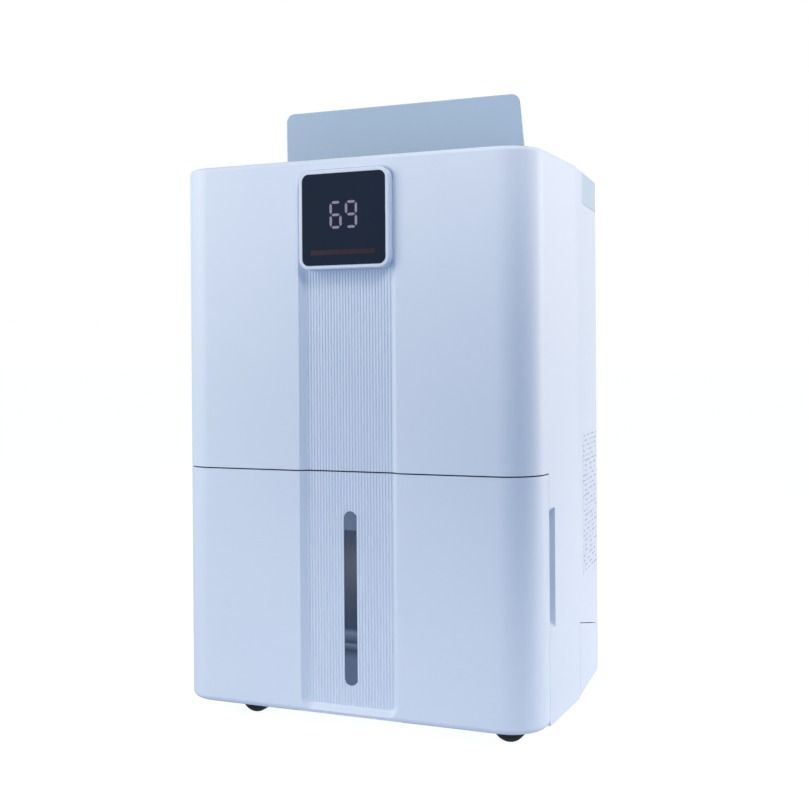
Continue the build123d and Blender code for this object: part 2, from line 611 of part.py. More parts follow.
# ---- casters ----
def caster_hood(place_x, place_y):
    """Swivelling twin-wheel caster body: centre web, hood over both wheels and stem."""
    axle_x = place_x + TRAIL
    width = WEB_T + 2 * (WHEEL_W + WHEEL_GAP)
    with BuildPart() as hood:
        rod((axle_x, place_y, WHEEL_R), HOOD_R + 1, width, "Y")
        rod((axle_x, place_y, WHEEL_R), WHEEL_R + 0.5, 2 * width, "Y", mode=Mode.SUBTRACT)
        block(axle_x - FAR, axle_x + FAR, place_y - width, place_y + width, -FAR, WHEEL_R + 4,
              mode=Mode.SUBTRACT)
        rod((axle_x, place_y, WHEEL_R), HOOD_R - 3, WEB_T, "Y")
        block(axle_x - 8, axle_x + 8, place_y - WEB_T / 2, place_y + WEB_T / 2, WHEEL_R, WHEEL_R + HOOD_R)
        block(place_x - 5, axle_x, place_y - 5, place_y + 5, WHEEL_R + HOOD_R, WHEEL_R + HOOD_R + 3.4)
        rod((place_x, place_y, (WHEEL_R + HOOD_R + PAN_TOP - 2) / 2), STEM_R,
            PAN_TOP - 2 - WHEEL_R - HOOD_R, "Z")
        rod((axle_x, place_y, WHEEL_R), AXLE_R + PIN_CLEARANCE, 2 * width, "Y", mode=Mode.SUBTRACT)
    return hood


def caster_wheels(place_x, place_y):
    """Twin wheels with dished hubs on one axle."""
    axle_x = place_x + TRAIL
    with BuildPart() as wheels:
        for side in (-1, 1):
            wheel_y = place_y + side * (WEB_T / 2 + WHEEL_GAP + WHEEL_W / 2)
            with BuildSketch(Plane.XZ.offset(-wheel_y)):
                with Locations((axle_x, WHEEL_R)):
                    Circle(WHEEL_R)
            extrude(amount=WHEEL_W / 2, both=True)
            rod((axle_x, wheel_y + side * WHEEL_W / 2, WHEEL_R), WHEEL_R - 4, 2, "Y", mode=Mode.SUBTRACT)
        rims = wheels.edges().filter_by(GeomType.CIRCLE).filter_by(lambda edge: edge.radius > WHEEL_R - 0.1)
        fillet(rims, radius=TREAD_ROUND)
        rod((axle_x, place_y, WHEEL_R), AXLE_R, WEB_T + 2 * WHEEL_W, "Y")
    return wheels


CASTERS = {
    "front_left": (-CASTER_X, CASTER_FRONT_Y),
    "front_right": (CASTER_X, CASTER_FRONT_Y),
    "rear_left": (-CASTER_X, CASTER_REAR_Y),
    "rear_right": (CASTER_X, CASTER_REAR_Y),
}
for corner, (place_x, place_y) in CASTERS.items():
    save(caster_hood(place_x, place_y), f"caster_hood_{corner}")
    save(caster_wheels(place_x, place_y), f"caster_wheels_{corner}")

# ---- rear cover, intake grille and filter ----
with BuildPart() as rear_cover:
    half = REAR_PANEL_HALF - FIT_GAP
    block(-half, half, REAR_Y - WALL, REAR_Y, SKIRT_REAR_Z + 1, BAND_Z - FIT_GAP)
    block(-half - 5, half + 5, REAR_Y - 2 * WALL - 0.4, REAR_Y - WALL - 0.4, SKIRT_REAR_Z + 6, BAND_Z - 6)
    block(-half + 4, half - 4, REAR_Y - 2 * WALL - 1, REAR_Y - WALL, SKIRT_REAR_Z + 20, BAND_Z - 20,
          mode=Mode.SUBTRACT)
    block(-half, half, REAR_Y - 2 * WALL, REAR_Y - WALL / 2, SKIRT_REAR_Z + 6, SKIRT_REAR_Z + 20)
    block(-half, half, REAR_Y - 2 * WALL, REAR_Y - WALL / 2, BAND_Z - 20, BAND_Z - 6)
    block(-INTAKE_HALF - FIT_GAP, INTAKE_HALF + FIT_GAP, REAR_Y - 20, REAR_Y + 1, INTAKE_LOW - FIT_GAP,
          INTAKE_TOP + FIT_GAP, mode=Mode.SUBTRACT)
    rod((DRAIN_X, REAR_Y, DRAIN_Z), CUP_R, 8 * WALL, "Y", mode=Mode.SUBTRACT)
    rod((GLAND_X, REAR_Y, GLAND_Z), GLAND_R + FIT_GAP / 4, 8 * WALL, "Y", mode=Mode.SUBTRACT)
save(rear_cover, "rear_cover")

SLAT_COUNT = 24
SLAT_DEPTH = 2.6
SLAT_H = 3.2
STAY_X = 73.0
STAY_W = 4.0
STAY_DEPTH = 3.4
GRILLE_PLATE_T = 3.7
FRAME_W = 9.0
with BuildPart() as intake_grille:
    block(-INTAKE_HALF, INTAKE_HALF, REAR_Y - 4, REAR_Y - 0.3, INTAKE_LOW, INTAKE_TOP)
    block(-INTAKE_HALF + FRAME_W, INTAKE_HALF - FRAME_W, REAR_Y - 5, REAR_Y + 1, INTAKE_LOW + FRAME_W,
          INTAKE_TOP - FRAME_W, mode=Mode.SUBTRACT)
    slat_span = INTAKE_TOP - INTAKE_LOW - 2 * FRAME_W
    with Locations((0, REAR_Y - GRILLE_PLATE_T / 2 - 0.3, (INTAKE_LOW + INTAKE_TOP) / 2)):
        for index in range(SLAT_COUNT):
            with Locations((0, 0, (index - (SLAT_COUNT - 1) / 2) * slat_span / SLAT_COUNT)):
                Box(2 * (INTAKE_HALF - FRAME_W) + 1, SLAT_DEPTH, SLAT_H)
        for stay_x in (-STAY_X, 0, STAY_X):
            with Locations((stay_x, 0, 0)):
                Box(STAY_W, STAY_DEPTH, slat_span + 1)
save(intake_grille, "intake_grille")

FILTER_WINDOW_Z = 58.0
FILTER_WINDOW_H = 104.0
with BuildPart() as filter_frame:
    block(-INTAKE_HALF + 1, INTAKE_HALF - 1, REAR_Y - 7.4, REAR_Y - 4, INTAKE_LOW + 1, INTAKE_TOP - 1)
    with Locations((0, REAR_Y - 6, (INTAKE_LOW + INTAKE_TOP) / 2)):
        for column in (-1, 1):
            for row in (-1, 1):
                with Locations((column * (INTAKE_HALF - 4) / 2, 0, row * FILTER_WINDOW_Z)):
                    Box(INTAKE_HALF - 14, 8, FILTER_WINDOW_H, mode=Mode.SUBTRACT)
save(filter_frame, "filter_frame")

with BuildPart() as filter_mesh:
    block(-INTAKE_HALF + 4, INTAKE_HALF - 4, REAR_Y - 8.4, REAR_Y - 7.4, INTAKE_LOW + 4, INTAKE_TOP - 4)
save(filter_mesh, "filter_mesh")

# ---- hose spigot in a recessed cup, and cord gland ----
CUP_FLOOR_Y = REAR_Y - CUP_DEPTH
CUP_FLANGE_Y = REAR_Y - WALL - CUP_T / 2 - FIT_GAP / 2
with BuildPart() as drain_spigot:
    rod((DRAIN_X, (CUP_FLOOR_Y - CUP_T + CUP_FLANGE_Y) / 2, DRAIN_Z), CUP_R + CUP_T,
        CUP_FLANGE_Y - CUP_FLOOR_Y + CUP_T, "Y")
    rod((DRAIN_X, CUP_FLANGE_Y, DRAIN_Z), CUP_FLANGE_R, CUP_T, "Y")
    rod((DRAIN_X, REAR_Y, DRAIN_Z), CUP_R, 2 * CUP_DEPTH, "Y", mode=Mode.SUBTRACT)
    rod((DRAIN_X, CUP_FLOOR_Y + DRAIN_LENGTH / 2, DRAIN_Z), DRAIN_R, DRAIN_LENGTH, "Y")
    rod((DRAIN_X, CUP_FLOOR_Y - DRAIN_TAIL / 2, DRAIN_Z), DRAIN_TAIL_R, DRAIN_TAIL, "Y")
    rod((DRAIN_X, REAR_Y, DRAIN_Z), DRAIN_BORE_R, FAR, "Y", mode=Mode.SUBTRACT)
save(drain_spigot, "drain_spigot")

with BuildPart() as cord_gland:
    rod((GLAND_X, REAR_Y - GLAND_LENGTH / 2, GLAND_Z), GLAND_R, GLAND_LENGTH, "Y")
    rod((GLAND_X, REAR_Y - WALL - GLAND_FLANGE_T / 2 - FIT_GAP, GLAND_Z), GLAND_FLANGE_R,
        GLAND_FLANGE_T, "Y")
    rod((GLAND_X, REAR_Y, GLAND_Z), GLAND_BORE_R, 4 * GLAND_LENGTH, "Y", mode=Mode.SUBTRACT)
save(cord_gland, "cord_gland")

RATING_LOW = BOTTOM_Z + 116.0
RATING_TOP = BOTTOM_Z + 258.0
with BuildPart() as rating_plate:
    extrude(plan_outline(-0.25, RATING_LOW), amount=RATING_TOP - RATING_LOW)
    extrude(plan_outline(0, RATING_LOW - 1), amount=RATING_TOP - RATING_LOW + 2, mode=Mode.SUBTRACT)
    block(0, FAR, FRONT_Y + 171, FRONT_Y + 252, 0, FAR, mode=Mode.INTERSECT)
save(rating_plate, "rating_plate")

with BuildPart() as rear_screws:
    for screw_x in (-REAR_PANEL_HALF + 8, REAR_PANEL_HALF - 8):
        for screw_z in (SKIRT_REAR_Z + 13, 300, BAND_Z - 13):
            with Locations((screw_x, REAR_Y + 0.02, screw_z)):
                Cylinder(3.4, 1.4, rotation=(-90, 0, 0), align=(Align.CENTER, Align.CENTER, Align.MIN))
save(rear_screws, "rear_screws")

# ---- bay liner behind and above the tank ----
with BuildPart() as bay_liner:
    block(-BAY_HALF, BAY_HALF, BAY_WALL_Y, BAY_WALL_Y + BAY_T, PAN_TOP + 0.1, BAY_CEILING_Z)
    block(-BAY_HALF, BAY_HALF, FRONT_Y + CORNER_R, BAY_WALL_Y + BAY_T, BAY_CEILING_Z, BAY_CEILING_Z + BAY_T)
    block(-SIDE_X + CORNER_R, SIDE_X - CORNER_R, FLOOR_Y + WALL + FIT_GAP, FRONT_Y + CORNER_R, BAY_CEILING_Z,
          BAY_CEILING_Z + BAY_T)
    rod((SPOUT_X, SPOUT_Y, BAY_CEILING_Z), SPOUT_R + 1.5, 20, "Z", mode=Mode.SUBTRACT)
save(bay_liner, "bay_liner")

TRAY_Z = BAY_CEILING_Z + BAY_T + 0.1
TRAY_HALF = COIL_HALF + 14.0
TRAY_FRONT_Y = CONDENSER_Y - 6.0
TRAY_REAR_Y = EVAPORATOR_Y + COIL_DEPTH + 6.0
TRAY_T = 2.0
TRAY_H = 8.0
CHUTE_HALF = 9.0
CHUTE_H = 4.0
with BuildPart() as drip_tray:
    block(-TRAY_HALF, TRAY_HALF, TRAY_FRONT_Y, TRAY_REAR_Y, TRAY_Z, TRAY_Z + TRAY_H)
    block(-TRAY_HALF + TRAY_T, TRAY_HALF - TRAY_T, TRAY_FRONT_Y + TRAY_T, TRAY_REAR_Y - TRAY_T,
          TRAY_Z + TRAY_T, TRAY_Z + TRAY_H + 1, mode=Mode.SUBTRACT)
    block(SPOUT_X - CHUTE_HALF, SPOUT_X + CHUTE_HALF, SPOUT_Y - CHUTE_HALF, TRAY_FRONT_Y + 1, TRAY_Z,
          TRAY_Z + CHUTE_H)
    block(SPOUT_X - CHUTE_HALF + TRAY_T, SPOUT_X + CHUTE_HALF - TRAY_T, SPOUT_Y - CHUTE_HALF + TRAY_T,
          CONDENSER_Y, TRAY_Z + TRAY_T, TRAY_Z + CHUTE_H + 1, mode=Mode.SUBTRACT)
    rod((SPOUT_X, SPOUT_Y, TRAY_Z - 3), SPOUT_R, 8, "Z")
    rod((SPOUT_X, SPOUT_Y, TRAY_Z - 3), SPOUT_BORE_R, 16, "Z", mode=Mode.SUBTRACT)
save(drip_tray, "drip_tray")

# ---- fan ----
with BuildPart() as fan_housing:
    with BuildSketch(Plane.XZ.offset(-HOUSING_REAR_Y)):
        with Locations((0, FAN_Z)):
            Circle(HOUSING_HALF)
        with Locations((0, (FAN_Z + HOUSING_TOP) / 2)):
            Rectangle(2 * HOUSING_HALF, HOUSING_TOP - FAN_Z)
    extrude(amount=HOUSING_REAR_Y - HOUSING_FRONT_Y)
    with BuildSketch(Plane.XZ.offset(-HOUSING_REAR_Y + HOUSING_T)):
        with Locations((0, FAN_Z)):
            Circle(HOUSING_HALF - HOUSING_T)
        with Locations((0, (FAN_Z + HOUSING_TOP + 2) / 2)):
            Rectangle(2 * (HOUSING_HALF - HOUSING_T), HOUSING_TOP + 2 - FAN_Z)
    extrude(amount=HOUSING_REAR_Y - HOUSING_FRONT_Y - 2 * HOUSING_T, mode=Mode.SUBTRACT)
    rod((0, HOUSING_REAR_Y, FAN_Z), 68, 10, "Y", mode=Mode.SUBTRACT)
    rod((0, HOUSING_FRONT_Y, FAN_Z), 12, 10, "Y", mode=Mode.SUBTRACT)
save(fan_housing, "fan_housing")

BLADE_COUNT = 36
with BuildPart() as fan_wheel:
    rod((0, FAN_FRONT_Y + 1, FAN_Z), FAN_R, 2, "Y")
    rod((0, FAN_REAR_Y - 1, FAN_Z), FAN_R, 2, "Y")
    rod((0, FAN_REAR_Y - 1, FAN_Z), FAN_R - 14, 3, "Y", mode=Mode.SUBTRACT)
    rod((0, FAN_FRONT_Y + 10, FAN_Z), 11, 20, "Y")
    with Locations(Plane(origin=(0, (FAN_FRONT_Y + FAN_REAR_Y) / 2, FAN_Z), x_dir=(1, 0, 0), z_dir=(0, 1, 0))):
        with PolarLocations(FAN_R - 7, BLADE_COUNT):
            Box(11, 1.4, FAN_REAR_Y - FAN_FRONT_Y - 2, rotation=(0, 0, 35))
    rod((0, FAN_FRONT_Y + 10, FAN_Z), SHAFT_R, 60, "Y", mode=Mode.SUBTRACT)
save(fan_wheel, "fan_wheel")

with BuildPart() as fan_shaft:
    rod((0, FAN_FRONT_Y - 7, FAN_Z), SHAFT_R, 52, "Y")
save(fan_shaft, "fan_shaft")

MOTOR_FRONT_Y = HOUSING_FRONT_Y - 42.0
with BuildPart() as fan_motor:
    rod((0, (MOTOR_FRONT_Y + HOUSING_FRONT_Y) / 2 - 1, FAN_Z), MOTOR_R, 38, "Y")
    fillet(fan_motor.edges(), radius=5)
    rod((0, HOUSING_FRONT_Y - 1.6, FAN_Z), 14, 3, "Y")
    for angle in (45, 135, 225, 315):
        reach = MOTOR_R + 5
        arm_x = reach * cos(radians(angle))
        arm_z = FAN_Z + reach * sin(radians(angle))
        rod((arm_x, HOUSING_FRONT_Y - 10, arm_z), 6, 19.9, "Y")
    rod((0, MOTOR_FRONT_Y, FAN_Z), SHAFT_R + PIN_CLEARANCE, 200, "Y", mode=Mode.SUBTRACT)
save(fan_motor, "fan_motor")

# ---- coils ----
def tube_centres(coil_y):
    """Places of the coil's straight tubes in depth and height."""
    row_step = (COIL_TOP - COIL_Z) / TUBE_ROWS
    return [(coil_y + depth * COIL_DEPTH, COIL_Z + (row + 0.5) * row_step)
            for row in range(TUBE_ROWS) for depth in (0.28, 0.72)]


def coil_fins(coil_y):
    """Stack of thin fins with a hole for each tube."""
    centre_y = coil_y + COIL_DEPTH / 2
    count = int(2 * COIL_HALF / FIN_PITCH)
    with BuildPart() as fin:
        with BuildSketch(Plane.YZ):
            with Locations((centre_y, (COIL_Z + COIL_TOP) / 2)):
                Rectangle(COIL_DEPTH, COIL_TOP - COIL_Z)
            with Locations(*tube_centres(coil_y)):
                Circle(TUBE_R, mode=Mode.SUBTRACT)
        extrude(amount=FIN_T)
    with BuildPart() as fins:
        for index in range(count):
            with Locations(((index - (count - 1) / 2) * FIN_PITCH, 0, 0)):
                add(fin.part)
    return fins


def coil_tubes(coil_y):
    """Straight tubes joined in a serpentine by return bends at both ends."""
    centres = tube_centres(coil_y)
    with BuildPart() as tubes:
        for tube_y, tube_z in centres:
            rod((0, tube_y, tube_z), TUBE_R, 2 * COIL_HALF + 8, "X")
        for index in range(len(centres) - 1):
            end = 1 if index % 2 == 0 else -1
            (y_a, z_a), (y_b, z_b) = centres[index], centres[index + 1]
            bend_x = end * (COIL_HALF + 4)
            with BuildLine() as bend:
                ThreePointArc((bend_x, y_a, z_a), (bend_x + end * 7, (y_a + y_b) / 2, (z_a + z_b) / 2),
                              (bend_x, y_b, z_b))
            with BuildSketch(Plane(origin=(bend_x, y_a, z_a), z_dir=bend.line % 0)):
                Circle(TUBE_R)
            sweep(path=bend.line)
    return tubes


save(coil_fins(CONDENSER_Y), "condenser_fins")
save(coil_tubes(CONDENSER_Y), "condenser_tubes")
save(coil_fins(EVAPORATOR_Y), "evaporator_fins")
save(coil_tubes(EVAPORATOR_Y), "evaporator_tubes")

# ---- compressor and its circuit ----
COMPRESSOR_LOW = PAN_TOP + 14.0
COMPRESSOR_H = 150.0
with BuildPart() as compressor:
    rod((COMPRESSOR_X, COMPRESSOR_Y, COMPRESSOR_LOW + COMPRESSOR_H / 2), COMPRESSOR_R, COMPRESSOR_H, "Z")
    fillet(compressor.edges(), radius=20)
    for angle in (90, 210, 330):
        foot_x = COMPRESSOR_X + (COMPRESSOR_R - 2) * cos(radians(angle))
        foot_y = COMPRESSOR_Y + (COMPRESSOR_R - 2) * sin(radians(angle))
        rod((foot_x, foot_y, COMPRESSOR_LOW + 2), 9, 4, "Z")
    rod((COMPRESSOR_X, COMPRESSOR_Y, COMPRESSOR_LOW + 2), COMPRESSOR_R - 4, 4, "Z")
save(compressor, "compressor")

with BuildPart() as compressor_feet:
    for angle in (90, 210, 330):
        foot_x = COMPRESSOR_X + (COMPRESSOR_R - 2) * cos(radians(angle))
        foot_y = COMPRESSOR_Y + (COMPRESSOR_R - 2) * sin(radians(angle))
        rod((foot_x, foot_y, (PAN_TOP + COMPRESSOR_LOW) / 2), 8, COMPRESSOR_LOW - PAN_TOP - 0.04, "Z")
save(compressor_feet, "compressor_feet")

ACCUMULATOR_X = COMPRESSOR_X + COMPRESSOR_R + 24.0
with BuildPart() as accumulator:
    rod((ACCUMULATOR_X, COMPRESSOR_Y, COMPRESSOR_LOW + 75), 18, 100, "Z")
    fillet(accumulator.edges(), radius=9)
save(accumulator, "accumulator")

with BuildPart() as terminal_cover:
    block(COMPRESSOR_X - 16, COMPRESSOR_X + 24, COMPRESSOR_Y - 22, COMPRESSOR_Y + 22,
          COMPRESSOR_LOW + COMPRESSOR_H + 0.02, COMPRESSOR_LOW + COMPRESSOR_H + 22)
    fillet(terminal_cover.edges().filter_by(Axis.Z), radius=6)
save(terminal_cover, "terminal_cover")

PIPE_R = 3.5
PIPE_BEND = 14.0
SUCTION_TOP = 240.0
with BuildPart() as refrigerant_pipes:
    accumulator_top = COMPRESSOR_LOW + 125.0
    with BuildLine() as suction:
        FilletPolyline(
            (ACCUMULATOR_X, COMPRESSOR_Y, accumulator_top),
            (ACCUMULATOR_X, COMPRESSOR_Y, SUCTION_TOP),
            (COIL_HALF + 40, COMPRESSOR_Y, SUCTION_TOP),
            (COIL_HALF + 40, COMPRESSOR_Y, COIL_Z + 60),
            (COIL_HALF + 40, EVAPORATOR_Y + 7, COIL_Z + 60),
            radius=PIPE_BEND,
        )
    with BuildSketch(Plane(origin=suction.line @ 0, z_dir=suction.line % 0)):
        Circle(PIPE_R)
    sweep(path=suction.line)
    with BuildLine() as discharge:
        FilletPolyline(
            (COMPRESSOR_X - 30, COMPRESSOR_Y, COMPRESSOR_LOW + COMPRESSOR_H + 0.02),
            (COMPRESSOR_X - 30, COMPRESSOR_Y, SUCTION_TOP),
            (-COIL_HALF - 40, COMPRESSOR_Y, SUCTION_TOP),
            (-COIL_HALF - 40, COMPRESSOR_Y, COIL_Z + 60),
            radius=PIPE_BEND / 2,
        )
    with BuildSketch(Plane(origin=discharge.line @ 0, z_dir=discharge.line % 0)):
        Circle(PIPE_R)
    sweep(path=discharge.line)
save(refrigerant_pipes, "refrigerant_pipes")

with BuildPart() as run_capacitor:
    rod((40, 40, PAN_TOP + 35), 16, 69.9, "Z")
    fillet(run_capacitor.edges(), radius=3)
save(run_capacitor, "run_capacitor")

BOX_X = 116.0
BOX_HALF = 42.0
with BuildPart() as control_box:
    block(BOX_X - BOX_HALF, BOX_X + BOX_HALF, 36, 124, PAN_TOP + 12, PAN_TOP + 130)
    block(BOX_X - BOX_HALF + 2, BOX_X + BOX_HALF - 2, 38, 122, PAN_TOP + 14, PAN_TOP + 131, mode=Mode.SUBTRACT)
    for leg_x in (BOX_X - BOX_HALF + 8, BOX_X + BOX_HALF - 8):
        for leg_y in (46, 114):
            rod((leg_x, leg_y, PAN_TOP + 6.5), 4, 13 - 0.04, "Z")
save(control_box, "control_box")

with BuildPart() as control_board:
    block(BOX_X - BOX_HALF + 4, BOX_X + BOX_HALF - 4, 42, 118, PAN_TOP + 20, PAN_TOP + 22)
    block(BOX_X - 24, BOX_X + 6, 50, 76, PAN_TOP + 22, PAN_TOP + 50)
    block(BOX_X + 12, BOX_X + 34, 52, 70, PAN_TOP + 22, PAN_TOP + 40)
    rod((BOX_X - 10, 98, PAN_TOP + 36), 9, 28, "Z")
save(control_board, "control_board")
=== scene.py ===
"""Portable dehumidifier on casters: finishes, detailed pieces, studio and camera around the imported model."""
from __future__ import annotations

import json
import logging
import math
from dataclasses import dataclass
from enum import Enum
from typing import Any, Iterable

import bpy
from mathutils import Matrix, Vector

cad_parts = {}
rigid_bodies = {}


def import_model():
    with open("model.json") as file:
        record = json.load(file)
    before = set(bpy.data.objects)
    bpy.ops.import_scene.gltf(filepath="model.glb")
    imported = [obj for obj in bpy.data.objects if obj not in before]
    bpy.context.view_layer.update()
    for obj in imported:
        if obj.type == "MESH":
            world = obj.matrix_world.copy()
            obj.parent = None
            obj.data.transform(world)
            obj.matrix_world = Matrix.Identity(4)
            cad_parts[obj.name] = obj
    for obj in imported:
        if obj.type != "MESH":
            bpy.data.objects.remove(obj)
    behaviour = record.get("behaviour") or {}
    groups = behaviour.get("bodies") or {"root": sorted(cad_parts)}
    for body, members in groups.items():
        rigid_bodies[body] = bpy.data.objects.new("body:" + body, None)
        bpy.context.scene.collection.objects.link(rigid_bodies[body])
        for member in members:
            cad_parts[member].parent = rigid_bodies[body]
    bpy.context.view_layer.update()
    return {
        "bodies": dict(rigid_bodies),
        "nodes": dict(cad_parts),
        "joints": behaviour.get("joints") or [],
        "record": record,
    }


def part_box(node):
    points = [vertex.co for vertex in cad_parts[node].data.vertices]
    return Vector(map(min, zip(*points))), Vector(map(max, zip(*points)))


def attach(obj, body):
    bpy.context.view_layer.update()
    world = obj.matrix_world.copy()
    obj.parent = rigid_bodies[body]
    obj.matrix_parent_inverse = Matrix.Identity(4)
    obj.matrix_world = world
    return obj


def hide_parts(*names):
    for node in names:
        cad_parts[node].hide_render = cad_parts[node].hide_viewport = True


LOG = logging.getLogger("dehumidifier")
MM = 0.001
Corner = tuple[float, float, float]


class Axis(Enum):
    """Direction a part points in, as the index of its coordinate."""

    X = 0
    Y = 1
    Z = 2


# ---------------------------------------------------------------- small helpers

def linear(code: str) -> tuple[float, float, float, float]:
    """Turns an sRGB hex colour into linear values.

    Args:
        code: Six hex digits after a hash sign.

    Returns:
        Red, green, blue and an alpha of 1.
    """
    channels = [int(code[i:i + 2], 16) / 255 for i in (1, 3, 5)]
    curve = [c / 12.92 if c <= 0.04045 else ((c + 0.055) / 1.055) ** 2.4 for c in channels]
    return (curve[0], curve[1], curve[2], 1.0)


def add_node(tree: bpy.types.NodeTree, kind: str, values: dict[Any, Any] | None = None,
             links: dict[Any, Any] | None = None, **settings: Any) -> bpy.types.Node:
    """Adds a shader node with its values, links and settings.

    Args:
        tree: Node tree that gets the node.
        kind: Blender's type name of the node.
        values: Input name or index to its unlinked value.
        links: Input name or index to the output socket that feeds it.
        settings: Node properties, such as its mode.

    Returns:
        The new node.
    """
    node = tree.nodes.new(kind)
    for key, value in settings.items():
        setattr(node, key, value)
    for key, value in (values or {}).items():
        node.inputs[key].default_value = value
    for key, socket in (links or {}).items():
        tree.links.new(socket, node.inputs[key])
    return node


def select_only(piece: bpy.types.Object) -> None:
    """Makes one object the only selected and the active one.

    Args:
        piece: Object that the next operator works on.
    """
    bpy.ops.object.select_all(action="DESELECT")
    piece.select_set(True)
    bpy.context.view_layer.objects.active = piece


def apply_modifiers(piece: bpy.types.Object) -> None:
    """Applies every modifier of a piece in order.

    Args:
        piece: Mesh object whose modifiers are applied.
    """
    select_only(piece)
    for modifier in list(piece.modifiers):
        bpy.ops.object.modifier_apply(modifier=modifier.name)


def settle(piece: bpy.types.Object) -> None:
    """Moves a piece's place and turn into its mesh, so that its object sits at the origin."""
    select_only(piece)
    bpy.ops.object.transform_apply(location=True, rotation=True, scale=True)


def bevel_edges(piece: bpy.types.Object, width: float, segments: int = 2, angle: float = 35.0) -> None:
    """Rounds a piece's sharp edges and applies it.

    Args:
        piece: Mesh object to round.
        width: Width of the rounding in metres.
        segments: Number of strips across the rounding.
        angle: Smallest angle in degrees between faces that counts as an edge.
    """
    bevel = piece.modifiers.new("edge", "BEVEL")
    bevel.width = width
    bevel.segments = segments
    bevel.limit_method = "ANGLE"
    bevel.angle_limit = math.radians(angle)
    bevel.use_clamp_overlap = True
    apply_modifiers(piece)


def smooth(piece: bpy.types.Object, angle: float = 32.0) -> None:
    """Shades a piece smooth across shallow edges and keeps its flats flat.

    Args:
        piece: Mesh object to shade.
        angle: Angle in degrees above which an edge stays sharp.
    """
    select_only(piece)
    bpy.ops.object.shade_smooth_by_angle(angle=math.radians(angle))
    weighted = piece.modifiers.new("flats", "WEIGHTED_NORMAL")
    weighted.keep_sharp = True
    apply_modifiers(piece)


def finish_piece(piece: bpy.types.Object, name: str, body: str, material: bpy.types.Material,
                 stands_for: Iterable[str] = ()) -> bpy.types.Object:
    """Names and dresses a piece and ties it to its body.

    Args:
        piece: The finished mesh object.
        name: Its name.
        body: Moving body that it rides on.
        material: Its surface.
        stands_for: CAD nodes that it replaces.

    Returns:
        The same object.
    """
    piece.name = name
    piece.data.materials.clear()
    piece.data.materials.append(material)
    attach(piece, body)
    nodes = list(stands_for)
    if nodes:
        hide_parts(*nodes)
    LOG.info("piece %s on %s", name, body)
    return piece


def join(pieces: list[bpy.types.Object]) -> bpy.types.Object:
    """Joins several objects into the first.

    Args:
        pieces: Objects to join, of which the first stays.

    Returns:
        The first object, which then holds all their meshes.
    """
    bpy.ops.object.select_all(action="DESELECT")
    for piece in pieces:
        piece.select_set(True)
    bpy.context.view_layer.objects.active = pieces[0]
    if len(pieces) > 1:
        bpy.ops.object.join()
    return pieces[0]


def bar(low: Corner, high: Corner, width: float = 0.0) -> bpy.types.Object:
    """Makes a bar with rounded edges between two corners.

    Args:
        low: Lowest corner in metres.
        high: Highest corner in metres.
        width: Edge rounding in metres, or 0 for none.

    Returns:
        The bar, settled at the origin.
    """
    centre = [(a + b) / 2 for a, b in zip(low, high)]
    bpy.ops.mesh.primitive_cube_add(size=1, location=centre)
    piece = bpy.context.object
    piece.scale = [b - a for a, b in zip(low, high)]
    settle(piece)
    if width:
        bevel_edges(piece, width, 3)
    return piece


def disc(centre: Corner, radius: float, depth: float, axis: Axis, vertices: int) -> bpy.types.Object:
    """Makes a round disc or bar centred on a point.

    Args:
        centre: Middle of the disc in metres.
        radius: Its radius.
        depth: Its length along the axis.
        axis: Direction of its axis.
        vertices: Number of sides.

    Returns:
        The disc, settled at the origin.
    """
    turn = {Axis.X: (0, math.pi / 2, 0), Axis.Y: (math.pi / 2, 0, 0), Axis.Z: (0, 0, 0)}[axis]
    bpy.ops.mesh.primitive_cylinder_add(vertices=vertices, radius=radius, depth=depth, location=centre,
                                        rotation=turn)
    piece = bpy.context.object
    settle(piece)
    return piece


def cut(piece: bpy.types.Object, tool: bpy.types.Object) -> None:
    """Cuts one object out of another and removes the tool.

    Args:
        piece: Object that is cut.
        tool: Closed object whose shape is taken away.
    """
    boolean = piece.modifiers.new("cut", "BOOLEAN")
    boolean.operation = "DIFFERENCE"
    boolean.object = tool
    boolean.solver = "EXACT"
    apply_modifiers(piece)
    bpy.data.objects.remove(tool)


# ---------------------------------------------------------------- finishes

@dataclass(frozen=True)
class Draft:
    """A material in the making: its node tree, its surface shader and its Object coordinates."""

    material: bpy.types.Material
    tree: bpy.types.NodeTree
    shader: bpy.types.Node
    place: bpy.types.NodeSocket


def start_material(name: str) -> Draft:
    """Starts a node material.

    Args:
        name: Common name of the real material.

    Returns:
        The new material with the parts of it that every finish needs.
    """
    material = bpy.data.materials.new(name)
    material.use_nodes = True
    tree = material.node_tree
    place = add_node(tree, "ShaderNodeTexCoord")
    return Draft(material, tree, tree.nodes["Principled BSDF"], place.outputs["Object"])


